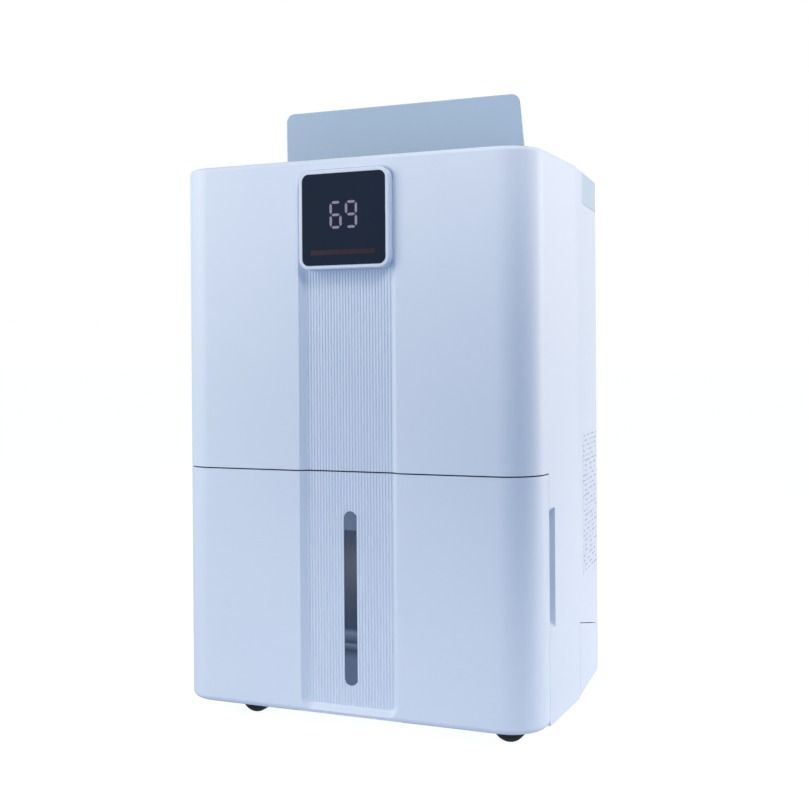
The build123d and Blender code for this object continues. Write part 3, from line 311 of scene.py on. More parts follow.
@dataclass(frozen=True)
class MouldedPlastic:
    """Injection-moulded plastic with the fine spark-eroded texture of its mould.

    The eye sees a soft highlight, a grain only close up and hardly any change of tone over the panel.
    """

    name: str
    colour: str
    shade: str
    roughness: float
    grain_mm: float
    grain_height_mm: float
    patch_mm: float = 120.0
    coat: float = 0.0
    gloss: float = 0.5

    def material(self) -> bpy.types.Material:
        """Builds the node material.

        Returns:
            The material.
        """
        draft = start_material(self.name)
        tree, shader = draft.tree, draft.shader
        shader.inputs["IOR"].default_value = 1.53
        shader.inputs["Specular IOR Level"].default_value = self.gloss
        shader.inputs["Coat Weight"].default_value = self.coat
        shader.inputs["Coat Roughness"].default_value = 0.12
        patches = add_node(tree, "ShaderNodeTexNoise", {"Scale": 1 / (self.patch_mm * MM), "Detail": 2.0},
                           {"Vector": draft.place})
        tone = add_node(tree, "ShaderNodeMix", {6: linear(self.colour), 7: linear(self.shade)},
                        {0: patches.outputs["Fac"]}, data_type="RGBA")
        grain = add_node(tree, "ShaderNodeTexNoise",
                         {"Scale": 1 / (self.grain_mm * MM), "Detail": 3.0, "Roughness": 0.6},
                         {"Vector": draft.place})
        tree.links.new(tone.outputs[2], shader.inputs["Base Color"])
        rough = add_node(tree, "ShaderNodeMapRange",
                         {"To Min": self.roughness - 0.05, "To Max": self.roughness + 0.05},
                         {"Value": grain.outputs["Fac"]})
        tree.links.new(rough.outputs["Result"], shader.inputs["Roughness"])
        bump = add_node(tree, "ShaderNodeBump", {"Strength": 1.0, "Distance": self.grain_height_mm * MM},
                        {"Height": grain.outputs["Fac"]})
        tree.links.new(bump.outputs["Normal"], shader.inputs["Normal"])
        return draft.material


@dataclass(frozen=True)
class WorkedMetal:
    """Bare or coated metal with the fine lines of its drawing, grinding or pressing."""

    name: str
    colour: str
    shade: str
    metallic: float
    roughness: float
    line_mm: float
    stretch: float = 12.0

    def material(self) -> bpy.types.Material:
        """Builds the node material.

        Returns:
            The material.
        """
        draft = start_material(self.name)
        tree, shader = draft.tree, draft.shader
        shader.inputs["Metallic"].default_value = self.metallic
        along = add_node(tree, "ShaderNodeMapping", {"Scale": (1.0, 1.0, self.stretch)},
                         {"Vector": draft.place})
        lines = add_node(tree, "ShaderNodeTexNoise",
                         {"Scale": 1 / (self.line_mm * self.stretch * MM), "Detail": 4.0},
                         {"Vector": along.outputs["Vector"]})
        tone = add_node(tree, "ShaderNodeMix", {6: linear(self.colour), 7: linear(self.shade)},
                        {0: lines.outputs["Fac"]}, data_type="RGBA")
        tree.links.new(tone.outputs[2], shader.inputs["Base Color"])
        rough = add_node(tree, "ShaderNodeMapRange",
                         {"To Min": self.roughness - 0.08, "To Max": self.roughness + 0.12},
                         {"Value": lines.outputs["Fac"]})
        tree.links.new(rough.outputs["Result"], shader.inputs["Roughness"])
        bump = add_node(tree, "ShaderNodeBump", {"Strength": 0.5, "Distance": 0.02 * MM},
                        {"Height": lines.outputs["Fac"]})
        tree.links.new(bump.outputs["Normal"], shader.inputs["Normal"])
        return draft.material


@dataclass(frozen=True)
class LitPlastic:
    """Light-spreading acrylic over a lamp, seen through smoked glass, so it glows only dimly."""

    name: str
    colour: str
    glow: float
    cloud_mm: float = 6.0
    dimmest: float = 0.78

    def material(self) -> bpy.types.Material:
        """Builds the node material.

        Returns:
            The material.
        """
        draft = start_material(self.name)
        tree, shader = draft.tree, draft.shader
        shader.inputs["Roughness"].default_value = 0.35
        spread = add_node(tree, "ShaderNodeTexNoise", {"Scale": 1 / (self.cloud_mm * MM), "Detail": 1.0},
                          {"Vector": draft.place})
        level = add_node(tree, "ShaderNodeMapRange", {"To Min": self.dimmest, "To Max": 1.0},
                         {"Value": spread.outputs["Fac"]})
        light = add_node(tree, "ShaderNodeMix", {6: (0.0, 0.0, 0.0, 1.0), 7: linear(self.colour)},
                         {0: level.outputs["Result"]}, data_type="RGBA")
        tree.links.new(light.outputs[2], shader.inputs["Base Color"])
        tree.links.new(light.outputs[2], shader.inputs["Emission Color"])
        shader.inputs["Emission Strength"].default_value = self.glow
        return draft.material


@dataclass(frozen=True)
class SmokedLens:
    """Tinted polycarbonate over the tank: what stands behind it is painted on it as bands of different depth,
    with painted shade for the tank's dark inside.
    """

    name: str
    # Colour of the painted shade that stands for the tank's dark inside.
    painted_inside_shade: str
    upper: str
    lower: str
    rim: str
    floor_m: float
    height_m: float = 0.2
    cloud_mm: float = 14.0
    cloudiness: float = 0.18

    def material(self) -> bpy.types.Material:
        """Builds the node material.

        Returns:
            The material.
        """
        draft = start_material(self.name)
        tree, shader = draft.tree, draft.shader
        shader.inputs["IOR"].default_value = 1.58
        shader.inputs["Roughness"].default_value = 0.16
        parts = add_node(tree, "ShaderNodeSeparateXYZ", links={"Vector": draft.place})
        level = add_node(tree, "ShaderNodeMapRange",
                         {"From Min": self.floor_m, "From Max": self.floor_m + self.height_m},
                         {"Value": parts.outputs["Z"]})
        ramp = add_node(tree, "ShaderNodeValToRGB", links={"Fac": level.outputs["Result"]})
        # Shares of the height: pale foot, thin rims of the tank's floor and ledge, painted shade for the dark
        # inside, pale top.
        stops = [(0.00, self.lower), (0.27, self.lower), (0.31, self.painted_inside_shade), (0.335, self.rim),
                 (0.345, self.painted_inside_shade), (0.39, self.rim), (0.41, self.painted_inside_shade), (0.865, self.painted_inside_shade),
                 (0.87, self.upper), (1.00, self.upper)]
        elements = ramp.color_ramp.elements
        while len(elements) < len(stops):
            elements.new(0.5)
        for element, (position, code) in zip(elements, stops):
            element.position = position
            element.color = linear(code)
        cloud = add_node(tree, "ShaderNodeTexNoise", {"Scale": 1 / (self.cloud_mm * MM), "Detail": 2.0},
                         {"Vector": draft.place})
        faint = add_node(tree, "ShaderNodeMapRange", {"To Min": 0.0, "To Max": self.cloudiness},
                         {"Value": cloud.outputs["Fac"]})
        tone = add_node(tree, "ShaderNodeMix", {7: linear(self.upper)},
                        {0: faint.outputs["Result"], 6: ramp.outputs["Color"]}, data_type="RGBA")
        tree.links.new(tone.outputs[2], shader.inputs["Base Color"])
        return draft.material


@dataclass(frozen=True)
class RuledLabel:
    """Blank printed film: a pale ground with plain bars where a maker would print its table."""

    name: str
    ground: str
    ink: str
    row_mm: float
    blank_share: float = 0.72
    gap_share: float = 0.50
    breaks_per_m: float = 70.0

    def material(self) -> bpy.types.Material:
        """Builds the node material.

        Returns:
            The material.
        """
        draft = start_material(self.name)
        tree, shader = draft.tree, draft.shader
        shader.inputs["Roughness"].default_value = 0.38
        parts = add_node(tree, "ShaderNodeSeparateXYZ", links={"Vector": draft.place})
        rows_per_m = 1 / (self.row_mm * MM)
        rows = add_node(tree, "ShaderNodeMath", {1: rows_per_m}, {0: parts.outputs["Z"]},
                        operation="MULTIPLY")
        phase = add_node(tree, "ShaderNodeMath", links={0: rows.outputs[0]}, operation="FRACT")
        row = add_node(tree, "ShaderNodeMath", {1: self.blank_share}, {0: phase.outputs[0]},
                       operation="GREATER_THAN")
        stretch = add_node(tree, "ShaderNodeMapping", {"Scale": (0.0, self.breaks_per_m, rows_per_m)},
                           {"Vector": draft.place})
        gaps = add_node(tree, "ShaderNodeTexNoise", {"Scale": 1.0, "Detail": 0.0},
                        {"Vector": stretch.outputs["Vector"]})
        inked = add_node(tree, "ShaderNodeMath", {1: self.gap_share}, {0: gaps.outputs["Fac"]},
                         operation="GREATER_THAN")
        both = add_node(tree, "ShaderNodeMath", links={0: row.outputs[0], 1: inked.outputs[0]},
                        operation="MULTIPLY")
        tone = add_node(tree, "ShaderNodeMix", {6: linear(self.ground), 7: linear(self.ink)},
                        {0: both.outputs[0]}, data_type="RGBA")
        tree.links.new(tone.outputs[2], shader.inputs["Base Color"])
        return draft.material


class Finishes:
    """Every surface of the dehumidifier, made once and looked up by name, most by the record's slot."""

    def __init__(self) -> None:
        """Builds the materials."""
        makers = {
            # Covers: satin, so lamps show on them only as soft broad highlights.
            "white_shell": MouldedPlastic("cool_white_abs", "#E6EDF9", "#E0E8F6", 0.5, 0.8, 0.012,
                                          gloss=0.3),
            "grey_trim": MouldedPlastic("blue_grey_textured_abs", "#B2C6DB", "#ACC1D7", 0.55, 0.7, 0.03),
            "deck_trim": MouldedPlastic("pale_blue_grey_abs", "#CADAE8", "#C4D5E4", 0.5, 0.7, 0.03),
            "key_plastic": MouldedPlastic("key_abs", "#D5DEEC", "#CFD9E8", 0.4, 0.8, 0.01),
            "plate_white": RuledLabel("blank_film_label", "#E8EFF8", "#AEBCCB", 5.0),
            # Display: near-black glass that mirrors a little, with dim light coming through it.
            "display_black": MouldedPlastic("smoked_acrylic", "#121A29", "#172132", 0.13, 1.2, 0.001, 60.0),
            "digit_lit": LitPlastic("lit_segment_acrylic", "#8D8298", 0.32),
            "bar_red": LitPlastic("lit_red_acrylic", "#280A1C", 0.1),
            # Tank: cloudy bucket behind a dark window with the tank's shaded inside painted on it, and a
            # coarse matt float.
            "bucket_plastic": MouldedPlastic("frosted_polypropylene", "#9FB0C4", "#97A8BD", 0.42, 1.2, 0.02),
            "window_smoke": SmokedLens("smoked_polycarbonate", "#26334A", "#6A778E", "#5B6B80", "#6C7B90",
                                       0.015),
            "float_foam": MouldedPlastic("foamed_polystyrene", "#E6E3DA", "#DCD8CE", 0.7, 1.8, 0.15),
            # Air path: dull greys and blacks that the eye reads as depth behind the grilles.
            "liner_grey": MouldedPlastic("grey_polypropylene", "#8D95A1", "#868E9B", 0.5, 1.0, 0.02),
            "fan_plastic": MouldedPlastic("glass_filled_nylon", "#2B2E34", "#32363C", 0.5, 0.9, 0.03),
            "filter_plastic": MouldedPlastic("filter_frame_polypropylene", "#3A4049", "#333942", 0.5, 0.9,
                                             0.02),
            "filter_net": MouldedPlastic("nylon_thread", "#2A2E35", "#24282F", 0.6, 0.4, 0.02),
            # Machinery: bare metals with drawn lines, and one glossy black shell.
            "motor_steel": WorkedMetal("zinc_plated_steel", "#9A9DA3", "#8B8F96", 1.0, 0.35, 0.6),
            "shaft_steel": WorkedMetal("ground_steel", "#A8AAAF", "#989BA1", 1.0, 0.28, 0.3),
            "fin_aluminium": WorkedMetal("pressed_aluminium", "#C2C6CA", "#B4B9BE", 1.0, 0.35, 0.5),
            "copper": WorkedMetal("drawn_copper", "#B8754C", "#A5653E", 1.0, 0.3, 0.5),
            "capacitor_can": WorkedMetal("drawn_can_aluminium", "#B9BCC0", "#AAAEB3", 1.0, 0.3, 0.4),
            "compressor_black": MouldedPlastic("black_enamel", "#15161A", "#1B1C21", 0.3, 1.4, 0.03,
                                               coat=0.4),
            "rubber_black": MouldedPlastic("moulded_rubber", "#1A1B1E", "#222327", 0.7, 0.6, 0.03),
            "board_green": MouldedPlastic("solder_mask_on_fibreglass", "#1C5A38", "#174C30", 0.35, 1.5,
                                          0.02),
            # Fittings: satin waxy plastic, black nylon and matt tread.
            "spigot_plastic": MouldedPlastic("natural_polypropylene", "#C9D1DC", "#C1CAD6", 0.45, 0.9, 0.02),
            "caster_black": MouldedPlastic("black_nylon", "#1C1E24", "#23262C", 0.42, 0.9, 0.02),
            "wheel_rubber": MouldedPlastic("hard_tread_rubber", "#17181B", "#202226", 0.65, 0.7, 0.04),
        }
        self._by_name = {name: maker.material() for name, maker in makers.items()}

    def of(self, name: str) -> bpy.types.Material:
        """Returns the material of a record slot, or of a finish with its own name."""
        return self._by_name[name]


# ---------------------------------------------------------------- CAD nodes that show

@dataclass
class Model:
    """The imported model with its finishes."""

    frame: dict[str, Any]
    finishes: Finishes

    def slot_of(self, node: str) -> str:
        """Returns the record slot of a CAD node."""
        rows = self.frame["record"]["subparts"]
        return next(row["material_slot"] for row in rows if row["node"] == node)

    def body_of(self, node: str) -> str:
        """Returns the body that a CAD node belongs to."""
        bodies = self.frame["record"]["behaviour"]["bodies"]
        return next(body for body, nodes in bodies.items() if node in nodes)

    def dress(self, node: str) -> None:
        """Gives a CAD node its surface and smooths its round faces.

        Args:
            node: CAD node that keeps its shape.
        """
        piece = self.frame["nodes"][node]
        piece.data.materials.clear()
        piece.data.materials.append(self.finishes.of(self.slot_of(node)))
        for face in piece.data.polygons:
            face.use_smooth = True
        weld = piece.modifiers.new("weld", "WELD")
        weld.merge_threshold = 0.001 * MM
        split = piece.modifiers.new("split", "EDGE_SPLIT")
        split.split_angle = math.radians(30)

    def skin(self, node: str, edge_mm: float = 0.3, surface: str = "") -> bpy.types.Object:
        """Stands a merged copy with rounded edges in a CAD node's place.

        Args:
            node: CAD node that the copy replaces.
            edge_mm: Width of the edge rounding in millimetres, or 0 for none.
            surface: Name of its finish where that isn't its slot's own.

        Returns:
            The new piece.
        """
        source = self.frame["nodes"][node]
        piece = bpy.data.objects.new(f"{node}_skin", source.data.copy())
        bpy.context.scene.collection.objects.link(piece)
        select_only(piece)
        bpy.ops.object.mode_set(mode="EDIT")
        bpy.ops.mesh.select_all(action="SELECT")
        bpy.ops.mesh.remove_doubles(threshold=0.001 * MM)
        bpy.ops.mesh.dissolve_limited(angle_limit=math.radians(0.2))
        bpy.ops.object.mode_set(mode="OBJECT")
        if edge_mm:
            bevel_edges(piece, edge_mm * MM, 2, 40)
        smooth(piece)
        return self.add(piece, f"{node}_skin", self.body_of(node), self.slot_of(node), [node], surface)

    def add(self, piece: bpy.types.Object, name: str, body: str, slot: str,
            stands_for: Iterable[str] = (), surface: str = "") -> bpy.types.Object:
        """Adds a new piece in the finish of its record slot.

        Args:
            piece: The finished mesh object.
            name: Its name.
            body: Moving body that it rides on.
            slot: Record slot that it takes its finish from.
            stands_for: CAD nodes that it replaces.
            surface: Name of its finish where that isn't its slot's own.

        Returns:
            The same object.
        """
        return finish_piece(piece, name, body, self.finishes.of(surface or slot), stands_for)


# ---------------------------------------------------------------- sub-assemblies

@dataclass
class Housing:
    """White shell, grey deck, base, rear cover and the parts that only need their surface."""

    model: Model
    shell_edge_mm: float = 0.35
    trim_edge_mm: float = 0.5
    screw_radius: float = 3.4 * MM
    screw_edge: float = 0.5 * MM
    cross_length: float = 4.0 * MM
    cross_width: float = 0.9 * MM
    cross_depth: float = 0.5 * MM

    def build(self) -> None:
        """Makes the visible covers."""
        self.model.skin("front_shell", self.shell_edge_mm)
        self.model.skin("top_deck", self.trim_edge_mm, "deck_trim")
        self.model.skin("base_pan", self.shell_edge_mm)
        self.model.skin("rear_cover", self.shell_edge_mm)
        self.model.skin("outlet_grille", self.shell_edge_mm)
        self.model.skin("louver", self.shell_edge_mm)
        for node in ("drain_spigot", "cord_gland"):
            self.model.skin(node, self.shell_edge_mm)
        self.screws()

    def screws(self) -> None:
        """Makes domed cross-recess screw heads in the rear cover."""
        low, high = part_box("rear_screws")
        depth = high.y - low.y
        reach = Vector((self.cross_length / 2, self.cross_depth, self.cross_width / 2))
        heads = []
        for place in self.screw_places(low, high, self.screw_radius):
            head = disc(tuple(place), self.screw_radius, depth, Axis.Y, 40)
            bevel_edges(head, self.screw_edge, 3)
            for turn in (0, math.pi / 2):
                recess = bar(tuple(-reach), tuple(reach))
                recess.matrix_world = (Matrix.Translation(place + Vector((0, depth / 2, 0)))
                                       @ Matrix.Rotation(turn, 4, "Y"))
                settle(recess)
                cut(head, recess)
            heads.append(head)
        group = join(heads)
        smooth(group)
        self.model.add(group, "screw_heads", "housing", "shaft_steel", ["rear_screws"])

    def screw_places(self, low: Vector, high: Vector, radius: float) -> list[Vector]:
        """Finds the middle of each screw from the CAD node's own points.

        Args:
            low: Lowest corner of all the screws.
            high: Highest corner of all the screws.
            radius: Radius of a head.

        Returns:
            One point for each screw.
        """
        heights = {round(v.co.z, 4) for v in self.model.frame["nodes"]["rear_screws"].data.vertices
                   if v.co.x < low.x + 0.01 * MM}
        rows = sorted(heights)
        middle_y = (low.y + high.y) / 2
        return [Vector((x, middle_y, z)) for x in (low.x + radius, high.x - radius) for z in rows]


@dataclass
class Display:
    """Raised bezel and smoked glass with two lit digits and a light bar."""

    model: Model
    bezel_edge_mm: float = 0.6
    digit_w: float = 12.4 * MM
    digit_h: float = 25.4 * MM
    stroke: float = 2.4 * MM
    taper: float = 1.7 * MM
    gap: float = 1.5 * MM
    left_inset: float = 1.3 * MM
    relief: float = 0.2 * MM
    bar_edge: float = 0.1 * MM

    def build(self) -> None:
        """Makes the bezel, glass, digits and bar."""
        self.model.skin("display_bezel", self.bezel_edge_mm)
        self.model.skin("display_glass", 0.0)
        self.digits()
        self.light_bar()

    def segment(self, centre: Vector, length: float, upright: bool) -> bpy.types.Object:
        """Makes one pointed segment.

        Args:
            centre: Its middle.
            length: Its length from point to point.
            upright: True for an upright segment.

        Returns:
            The segment.
        """
        radius = self.stroke / 2 / math.cos(math.pi / 6)
        piece = disc((0, 0, 0), radius, self.relief * 2, Axis.Y, 6)
        turn = 0.0 if upright else math.pi / 2
        piece.matrix_world = Matrix.Rotation(turn, 4, "Y")
        settle(piece)
        along = (Axis.Z if upright else Axis.X).value
        for vertex in piece.data.vertices:
            reach = vertex.co[along]
            taper = 0.0 if abs(reach) > 0.75 * radius else self.taper
            vertex.co[along] = math.copysign(length / 2 - taper, reach)
        piece.data.transform(Matrix.Translation(centre))
        return piece

    def digits(self) -> None:
        """Makes the two lit digits on the glass."""
        low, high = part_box("display_digits")
        face_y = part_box("display_glass")[0].y
        middle_z = (low.z + high.z) / 2
        across = (self.digit_w - self.stroke) / 2
        up = (self.digit_h - self.stroke) / 2
        flat = self.digit_w - self.stroke - self.gap
        tall = up - self.gap
        left_x = low.x + self.left_inset + self.digit_w / 2
        right_x = high.x - self.digit_w / 2
        upper_left, upper_right, lower_left, lower_right = (-1, 1), (1, 1), (-1, -1), (1, -1)
        lit = ((left_x, (upper_left, lower_left, lower_right)),
               (right_x, (upper_left, upper_right, lower_right)))
        pieces = []
        for digit_x, uprights in lit:
            for level in (-1, 0, 1):
                place = Vector((digit_x, face_y, middle_z + level * up))
                pieces.append(self.segment(place, flat, False))
            for side, half in uprights:
                place = Vector((digit_x + side * across, face_y, middle_z + half * up / 2))
                pieces.append(self.segment(place, tall, True))
        group = join(pieces)
        self.model.add(group, "lit_digits", "housing", "digit_lit", ["display_digits"])

    def light_bar(self) -> None:
        """Makes the dim red bar low on the glass."""
        low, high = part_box("display_bar")
        face_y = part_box("display_glass")[0].y
        piece = bar((low.x, face_y - self.relief, low.z), (high.x, face_y + self.relief, high.z),
                    self.bar_edge)
        self.model.add(piece, "light_bar", "housing", "bar_red", ["display_bar"])


@dataclass
class Tank:
    """Pull-out tank with its ribbed front, smoked window, bucket, lid and float."""

    model: Model
    rib_count: int = 5
    rib_inset: float = 150 * MM
    rib_pitch: float = 6 * MM
    rib_width: float = 2.4 * MM
    rib_front_y: float = -86 * MM
    rib_back_y: float = -56 * MM
    rib_root: float = 0.3 * MM
    rib_height: float = 0.9 * MM
    rib_edge: float = 0.5 * MM

    def build(self) -> None:
        """Makes the tank's pieces."""
        edges_mm = {"tank_front": 0.35, "tank_window": 0.3, "tank_bucket": 0.4, "tank_lid": 0.4,
                    "tank_float": 0.8}
        for node, edge_mm in edges_mm.items():
            self.model.skin(node, edge_mm)
        self.lid_grip()

    def lid_grip(self) -> None:
        """Makes the lid's raised finger ribs beside the pouring hole."""
        low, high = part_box("tank_lid")
        ribs = []
        for index in range(self.rib_count):
            x = low.x + self.rib_inset + index * self.rib_pitch
            ribs.append(bar((x, self.rib_front_y, high.z - self.rib_root),
                            (x + self.rib_width, self.rib_back_y, high.z + self.rib_height), self.rib_edge))
        group = join(ribs)
        smooth(group)
        self.model.add(group, "lid_grip_ribs", "tank", "bucket_plastic")


@dataclass
class Keys:
    """Four keys on the deck with plain pictograms."""

    model: Model
    relief: float = 0.15 * MM
    line: float = 0.45 * MM
    line_edge: float = 0.08 * MM
    ring_flatness: float = 0.5
    power_radius: float = 2.3 * MM
    mode_radii: tuple[float, float] = (2.4 * MM, 1.2 * MM)
    drop_radius: float = 1.8 * MM
    drop_low: float = 0.6 * MM
    drop_top: float = 3.6 * MM
    drop_lean: float = 28.0
    blade_radius: float = 0.9 * MM
    blade_count: int = 4
    blade_length: float = 2.8 * MM
    side_length: float = 3.2 * MM

    def build(self) -> None:
        """Makes the keys and the mark on each."""
        marks = {"key_power": self.power, "key_mode": self.rings, "key_humidity": self.drop,
                 "key_fan": self.blades}
        for key, mark in marks.items():
            self.model.skin(key, 0.0)
            low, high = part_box(key)
            centre = Vector(((low.x + high.x) / 2, (low.y + high.y) / 2, high.z))
            piece = mark(centre)
            self.model.add(piece, f"{key}_mark", key, "filter_plastic")

    def ring(self, centre: Vector, radius: float) -> bpy.types.Object:
        """Makes a thin raised ring.

        Args:
            centre: Its middle.
            radius: Radius of the middle of its line.

        Returns:
            The ring.
        """
        bpy.ops.mesh.primitive_torus_add(major_radius=radius, minor_radius=self.line / 2, major_segments=32,
                                         minor_segments=8, location=centre)
        piece = bpy.context.object
        piece.scale = (1, 1, self.ring_flatness)
        settle(piece)
        return piece

    def stroke(self, start: Vector, length: float, turn: float) -> bpy.types.Object:
        """Makes a thin raised stroke.

        Args:
            start: Point that it starts from.
            length: Its length.
            turn: Its direction as an angle from the key's right.

        Returns:
            The stroke.
        """
        half = self.line / 2
        piece = bar((0.0, -half, -self.relief), (length, half, self.relief), self.line_edge)
        piece.matrix_world = Matrix.Translation(start) @ Matrix.Rotation(turn, 4, "Z")
        settle(piece)
        return piece

    def power(self, centre: Vector) -> bpy.types.Object:
        """Ring with a stroke through its top."""
        return join([self.ring(centre, self.power_radius),
                     self.stroke(centre, self.side_length, math.pi / 2)])

    def rings(self, centre: Vector) -> bpy.types.Object:
        """Two rings, one in the other."""
        return join([self.ring(centre, radius) for radius in self.mode_radii])

    def drop(self, centre: Vector) -> bpy.types.Object:
        """Ring with two strokes that meet above it, like a drop.

        Args:
            centre: Middle of the key's top.

        Returns:
            The mark.
        """
        round_end = self.ring(centre - Vector((0, self.drop_low, 0)), self.drop_radius)
        top = centre + Vector((0, self.drop_top, 0))
        sides = [self.stroke(top, self.side_length, math.radians(lean - 90))
                 for lean in (self.drop_lean, -self.drop_lean)]
        return join([round_end, *sides])

    def blades(self, centre: Vector) -> bpy.types.Object:
        """Strokes from a small ring, like a fan.

        Args:
            centre: Middle of the key's top.

        Returns:
            The mark.
        """
        turns = [math.radians(45 + 360 / self.blade_count * n) for n in range(self.blade_count)]
        strokes = [self.stroke(centre, self.blade_length, turn) for turn in turns]
        return join([self.ring(centre, self.blade_radius), *strokes])


@dataclass
class RearIntake:
    """Louvred intake with its filter frame and woven net."""

    model: Model
    edge_mm: float = 0.3
    mesh_pitch: float = 3.2 * MM
    thread: float = 0.5 * MM

    def build(self) -> None:
        """Makes the grille, frame and net."""
        self.model.skin("intake_grille", self.edge_mm)
        self.model.skin("filter_frame", self.edge_mm)
        self.net()

    def net(self) -> None:
        """Makes the filter net as real threads."""
        low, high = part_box("filter_mesh")
        width, height = high.x - low.x, high.z - low.z
        columns, rows = round(width / self.mesh_pitch), round(height / self.mesh_pitch)
        bpy.ops.mesh.primitive_grid_add(x_subdivisions=columns, y_subdivisions=rows, size=1,
                                        location=(low + high) / 2, rotation=(math.pi / 2, 0, 0))
        piece = bpy.context.object
        piece.scale = (width - self.thread, height - self.thread, 1)
        settle(piece)
        threads = piece.modifiers.new("threads", "WIREFRAME")
        threads.thickness = self.thread
        threads.use_even_offset = False
        apply_modifiers(piece)
        self.model.add(piece, "filter_net", "filter_cassette", "filter_net", ["filter_mesh"])


@dataclass
class Casters:
    """Four twin-wheel casters."""

    model: Model
    hood_edge_mm: float = 0.3
    wheel_edge_mm: float = 0.2
    cap_radius: float = 6.5 * MM
    cap_inset: float = 1.3 * MM
    cap_depth: float = 1.6 * MM
    cap_edge: float = 0.5 * MM

    def build(self) -> None:
        """Makes hoods, wheels and their hub caps."""
        for corner in ("front_left", "front_right", "rear_left", "rear_right"):
            self.model.skin(f"caster_hood_{corner}", self.hood_edge_mm)
            self.model.skin(f"caster_wheels_{corner}", self.wheel_edge_mm)
            self.caps(corner)

    def caps(self, corner: str) -> None:
        """Makes a domed cap in the dish of each wheel.

        Args:
            corner: Corner of the housing that the caster stands under.
        """
        low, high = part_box(f"caster_wheels_{corner}")
        middle = (low + high) / 2
        pieces = []
        for outer_y, inward in ((low.y, 1), (high.y, -1)):
            cap = disc((middle.x, outer_y + inward * self.cap_inset, middle.z), self.cap_radius,
                       self.cap_depth, Axis.Y, 32)
            bevel_edges(cap, self.cap_edge, 3)
            pieces.append(cap)
        group = join(pieces)
        smooth(group)
        self.model.add(group, f"hub_caps_{corner}", f"wheels_{corner}", "caster_black")


@dataclass
class Machinery:
    """Fan, coils, compressor and boards inside the housing."""

    model: Model
    shell_y: float = 76 * MM
    bead_drop: float = 34 * MM
    bead_radius: float = 1.6 * MM

    def build(self) -> None:
        """Dresses the inner nodes and adds the compressor's weld bead."""
        for node in self.inner_nodes():
            self.model.dress(node)
        self.weld_bead()

    def inner_nodes(self) -> list[str]:
        """Returns the CAD nodes that keep their CAD shape."""
        return ["display_board", "key_board", "bay_liner", "drip_tray", "fan_housing", "fan_motor",
                "fan_wheel", "fan_shaft", "evaporator_fins", "evaporator_tubes", "condenser_fins",
                "condenser_tubes", "refrigerant_pipes", "compressor", "compressor_feet", "accumulator",
                "terminal_cover", "run_capacitor", "control_box", "control_board", "rating_plate"]

    def weld_bead(self) -> None:
        """Makes the bead where the compressor's two halves are welded."""
        low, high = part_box("compressor")
        centre = Vector(((low.x + high.x) / 2, self.shell_y, high.z - self.bead_drop))
        radius = (high.x - low.x) / 2
        bpy.ops.mesh.primitive_torus_add(major_radius=radius, minor_radius=self.bead_radius,
                                         major_segments=96, minor_segments=12, location=centre)
        piece = bpy.context.object
        settle(piece)
        smooth(piece)
        self.model.add(piece, "compressor_weld", "housing", "compressor_black")


# ---------------------------------------------------------------- studio

@dataclass(frozen=True)
class SoftBox:
    """One soft lamp: its place, the point that it faces, its size, watts, colour and beam in degrees."""

    name: str
    place: Corner
    aim: Corner
    size: tuple[float, float]
    power: float
    colour: str
    beam: float = 180.0

    def build(self) -> None:
        """Makes the lamp."""
        data = bpy.data.lights.new(self.name, "AREA")
        data.spread = math.radians(self.beam)
        data.shape = "RECTANGLE"
        data.size, data.size_y = self.size
        data.energy = self.power
        data.color = linear(self.colour)[:3]
        lamp = bpy.data.objects.new(self.name, data)
        lamp.location = self.place
        lamp.rotation_euler = (Vector(self.aim) - Vector(self.place)).to_track_quat("-Z", "Y").to_euler()
        bpy.context.scene.collection.objects.link(lamp)


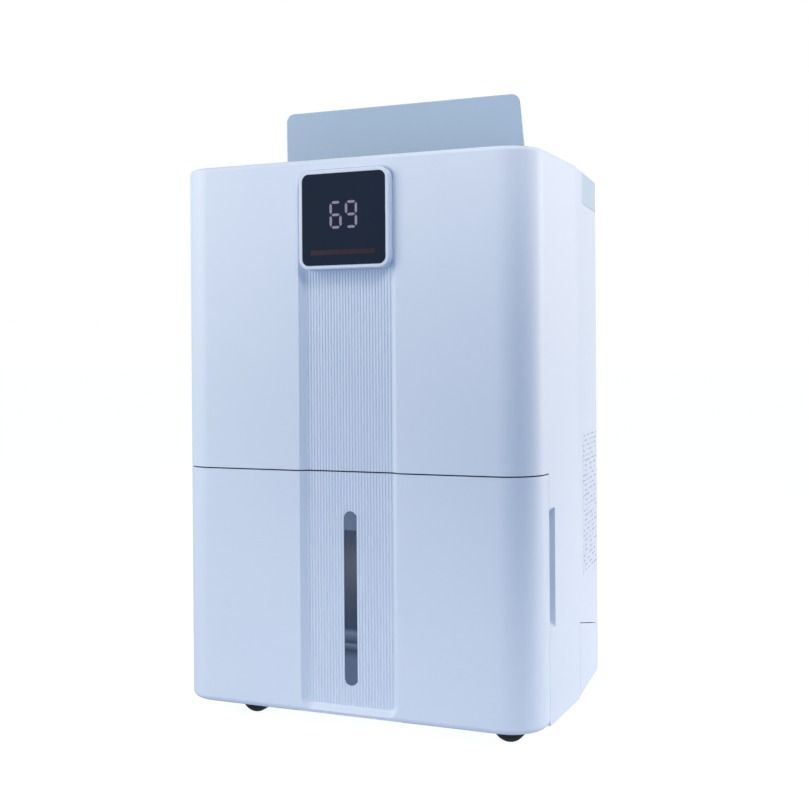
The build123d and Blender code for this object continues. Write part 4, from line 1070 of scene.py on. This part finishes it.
@dataclass
class Studio:
    """Pale floor, soft lights and the camera."""

    camera_place: Corner = (0.5102, -1.1824, 0.3493)
    yaw: float = 23.28
    pitch: float = 0.16
    roll: float = -0.391
    sensor_mm: float = 36.0
    lens_mm: float = 55.8
    shift_y: float = -0.0544
    sky_cast: str = "#869BB7"
    floor_cast: str = "#95A9C4"
    floor_size: float = 60.0
    floor_tone: str = "#8A8C90"
    floor_glow: float = 0.93
    narrow_beam: float = 60.0
    low_size: tuple[float, float] = (0.5, 0.06)

    def build(self) -> None:
        """Makes everything around the object."""
        self.floor()
        self.world()
        self.lights()
        self.camera()

    def two_tone(self, tree: bpy.types.NodeTree, kind: str, seen: bpy.types.NodeSocket | str,
                 cast: str) -> bpy.types.Node:
        """Adds a white that is seen directly and a softer blue-white that lights the object.

        Args:
            tree: Node tree of the surround or the floor.
            kind: Node type of both shaders.
            seen: Shader socket or hex colour for what is seen directly.
            cast: Hex colour of the light that it casts.

        Returns:
            The node that mixes the two.
        """
        direct = add_node(tree, "ShaderNodeLightPath")
        soft = add_node(tree, kind, {"Color": linear(cast), "Strength": 1.0})
        white = seen
        if isinstance(seen, str):
            white = add_node(tree, kind, {"Color": linear(seen), "Strength": 1.0}).outputs[0]
        return add_node(tree, "ShaderNodeMixShader", links={0: direct.outputs["Is Camera Ray"],
                                                            1: soft.outputs[0], 2: white})

    def floor(self) -> None:
        """Makes the pale floor, which keeps a faint shadow under the object."""
        bpy.ops.mesh.primitive_plane_add(size=self.floor_size, location=(0, 0, 0))
        piece = bpy.context.object
        piece.name = "studio_floor"
        material = bpy.data.materials.new("studio_white")
        material.use_nodes = True
        tree = material.node_tree
        shader = tree.nodes["Principled BSDF"]
        shader.inputs["Roughness"].default_value = 1.0
        shader.inputs["Specular IOR Level"].default_value = 0.0
        shader.inputs["Base Color"].default_value = linear(self.floor_tone)
        shader.inputs["Emission Color"].default_value = linear("#FFFFFF")
        shader.inputs["Emission Strength"].default_value = self.floor_glow
        mix = self.two_tone(tree, "ShaderNodeEmission", shader.outputs[0], self.floor_cast)
        tree.links.new(mix.outputs[0], tree.nodes["Material Output"].inputs["Surface"])
        piece.data.materials.append(material)

    def world(self) -> None:
        """Makes the surround."""
        world = bpy.data.worlds.new("studio_surround")
        world.use_nodes = True
        tree = world.node_tree
        mix = self.two_tone(tree, "ShaderNodeBackground", "#FFFFFF", self.sky_cast)
        tree.links.new(mix.outputs[0], tree.nodes["World Output"].inputs["Surface"])
        bpy.context.scene.world = world
        bpy.context.scene.view_settings.view_transform = "Standard"

    def lights(self) -> None:
        """Makes the soft boxes."""
        low_aim_z = -0.03
        boxes = (
            SoftBox("left_front_box", (-0.85, -0.68, 0.70), (-0.13, -0.14, 0.44), (0.5, 0.7), 6.9,
                    "#FBF4E4"),
            SoftBox("right_rear_box", (1.3, 1.05, 0.5), (0.18, 0, 0.3), (0.9, 1.1), 18.4, "#FFF2DD"),
            SoftBox("high_right_box", (0.50, -0.55, 1.15), (0.16, -0.05, 0.62), (0.3, 0.3), 0.55, "#FFF4E4",
                    self.narrow_beam),
            SoftBox("low_right_box", (0.55, -0.55, 0.03), (0.16, -0.13, low_aim_z), self.low_size, 0.10,
                    "#FAF5EE", self.narrow_beam),
            SoftBox("low_front_box", (-0.1, -0.85, 0.03), (-0.06, -0.14, low_aim_z), (0.7, 0.06), 0.15,
                    "#FAF5EE", self.narrow_beam),
            SoftBox("low_side_box", (0.9, 0.15, 0.03), (0.18, 0.06, low_aim_z), self.low_size, 0.15,
                    "#FCF8EE", self.narrow_beam),
        )
        for box in boxes:
            box.build()

    def camera(self) -> None:
        """Makes the camera."""
        yaw, pitch, roll = (math.radians(a) for a in (self.yaw, self.pitch, self.roll))
        ahead = Vector((-math.sin(yaw) * math.cos(pitch), math.cos(yaw) * math.cos(pitch),
                        -math.sin(pitch)))
        right = Vector((math.cos(yaw), math.sin(yaw), 0))
        up = right.cross(ahead)
        right_rolled = math.cos(roll) * right + math.sin(roll) * up
        up_rolled = -math.sin(roll) * right + math.cos(roll) * up
        turn = Matrix((right_rolled, up_rolled, -ahead)).transposed()
        data = bpy.data.cameras.new("camera")
        data.sensor_width = self.sensor_mm
        data.lens = self.lens_mm
        data.shift_y = self.shift_y
        view = bpy.data.objects.new("camera", data)
        view.matrix_world = Matrix.Translation(self.camera_place) @ turn.to_4x4()
        bpy.context.scene.collection.objects.link(view)
        bpy.context.scene.camera = view


def main() -> None:
    """Builds the dehumidifier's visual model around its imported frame."""
    logging.basicConfig(level=logging.INFO, format="%(name)s: %(message)s")
    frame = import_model()
    Studio().build()
    model = Model(frame, Finishes())
    for part in (Housing, Display, Tank, Keys, RearIntake, Casters, Machinery):
        part(model).build()
        LOG.info("%s done", part.__name__)


if __name__ == "__main__":
    main()
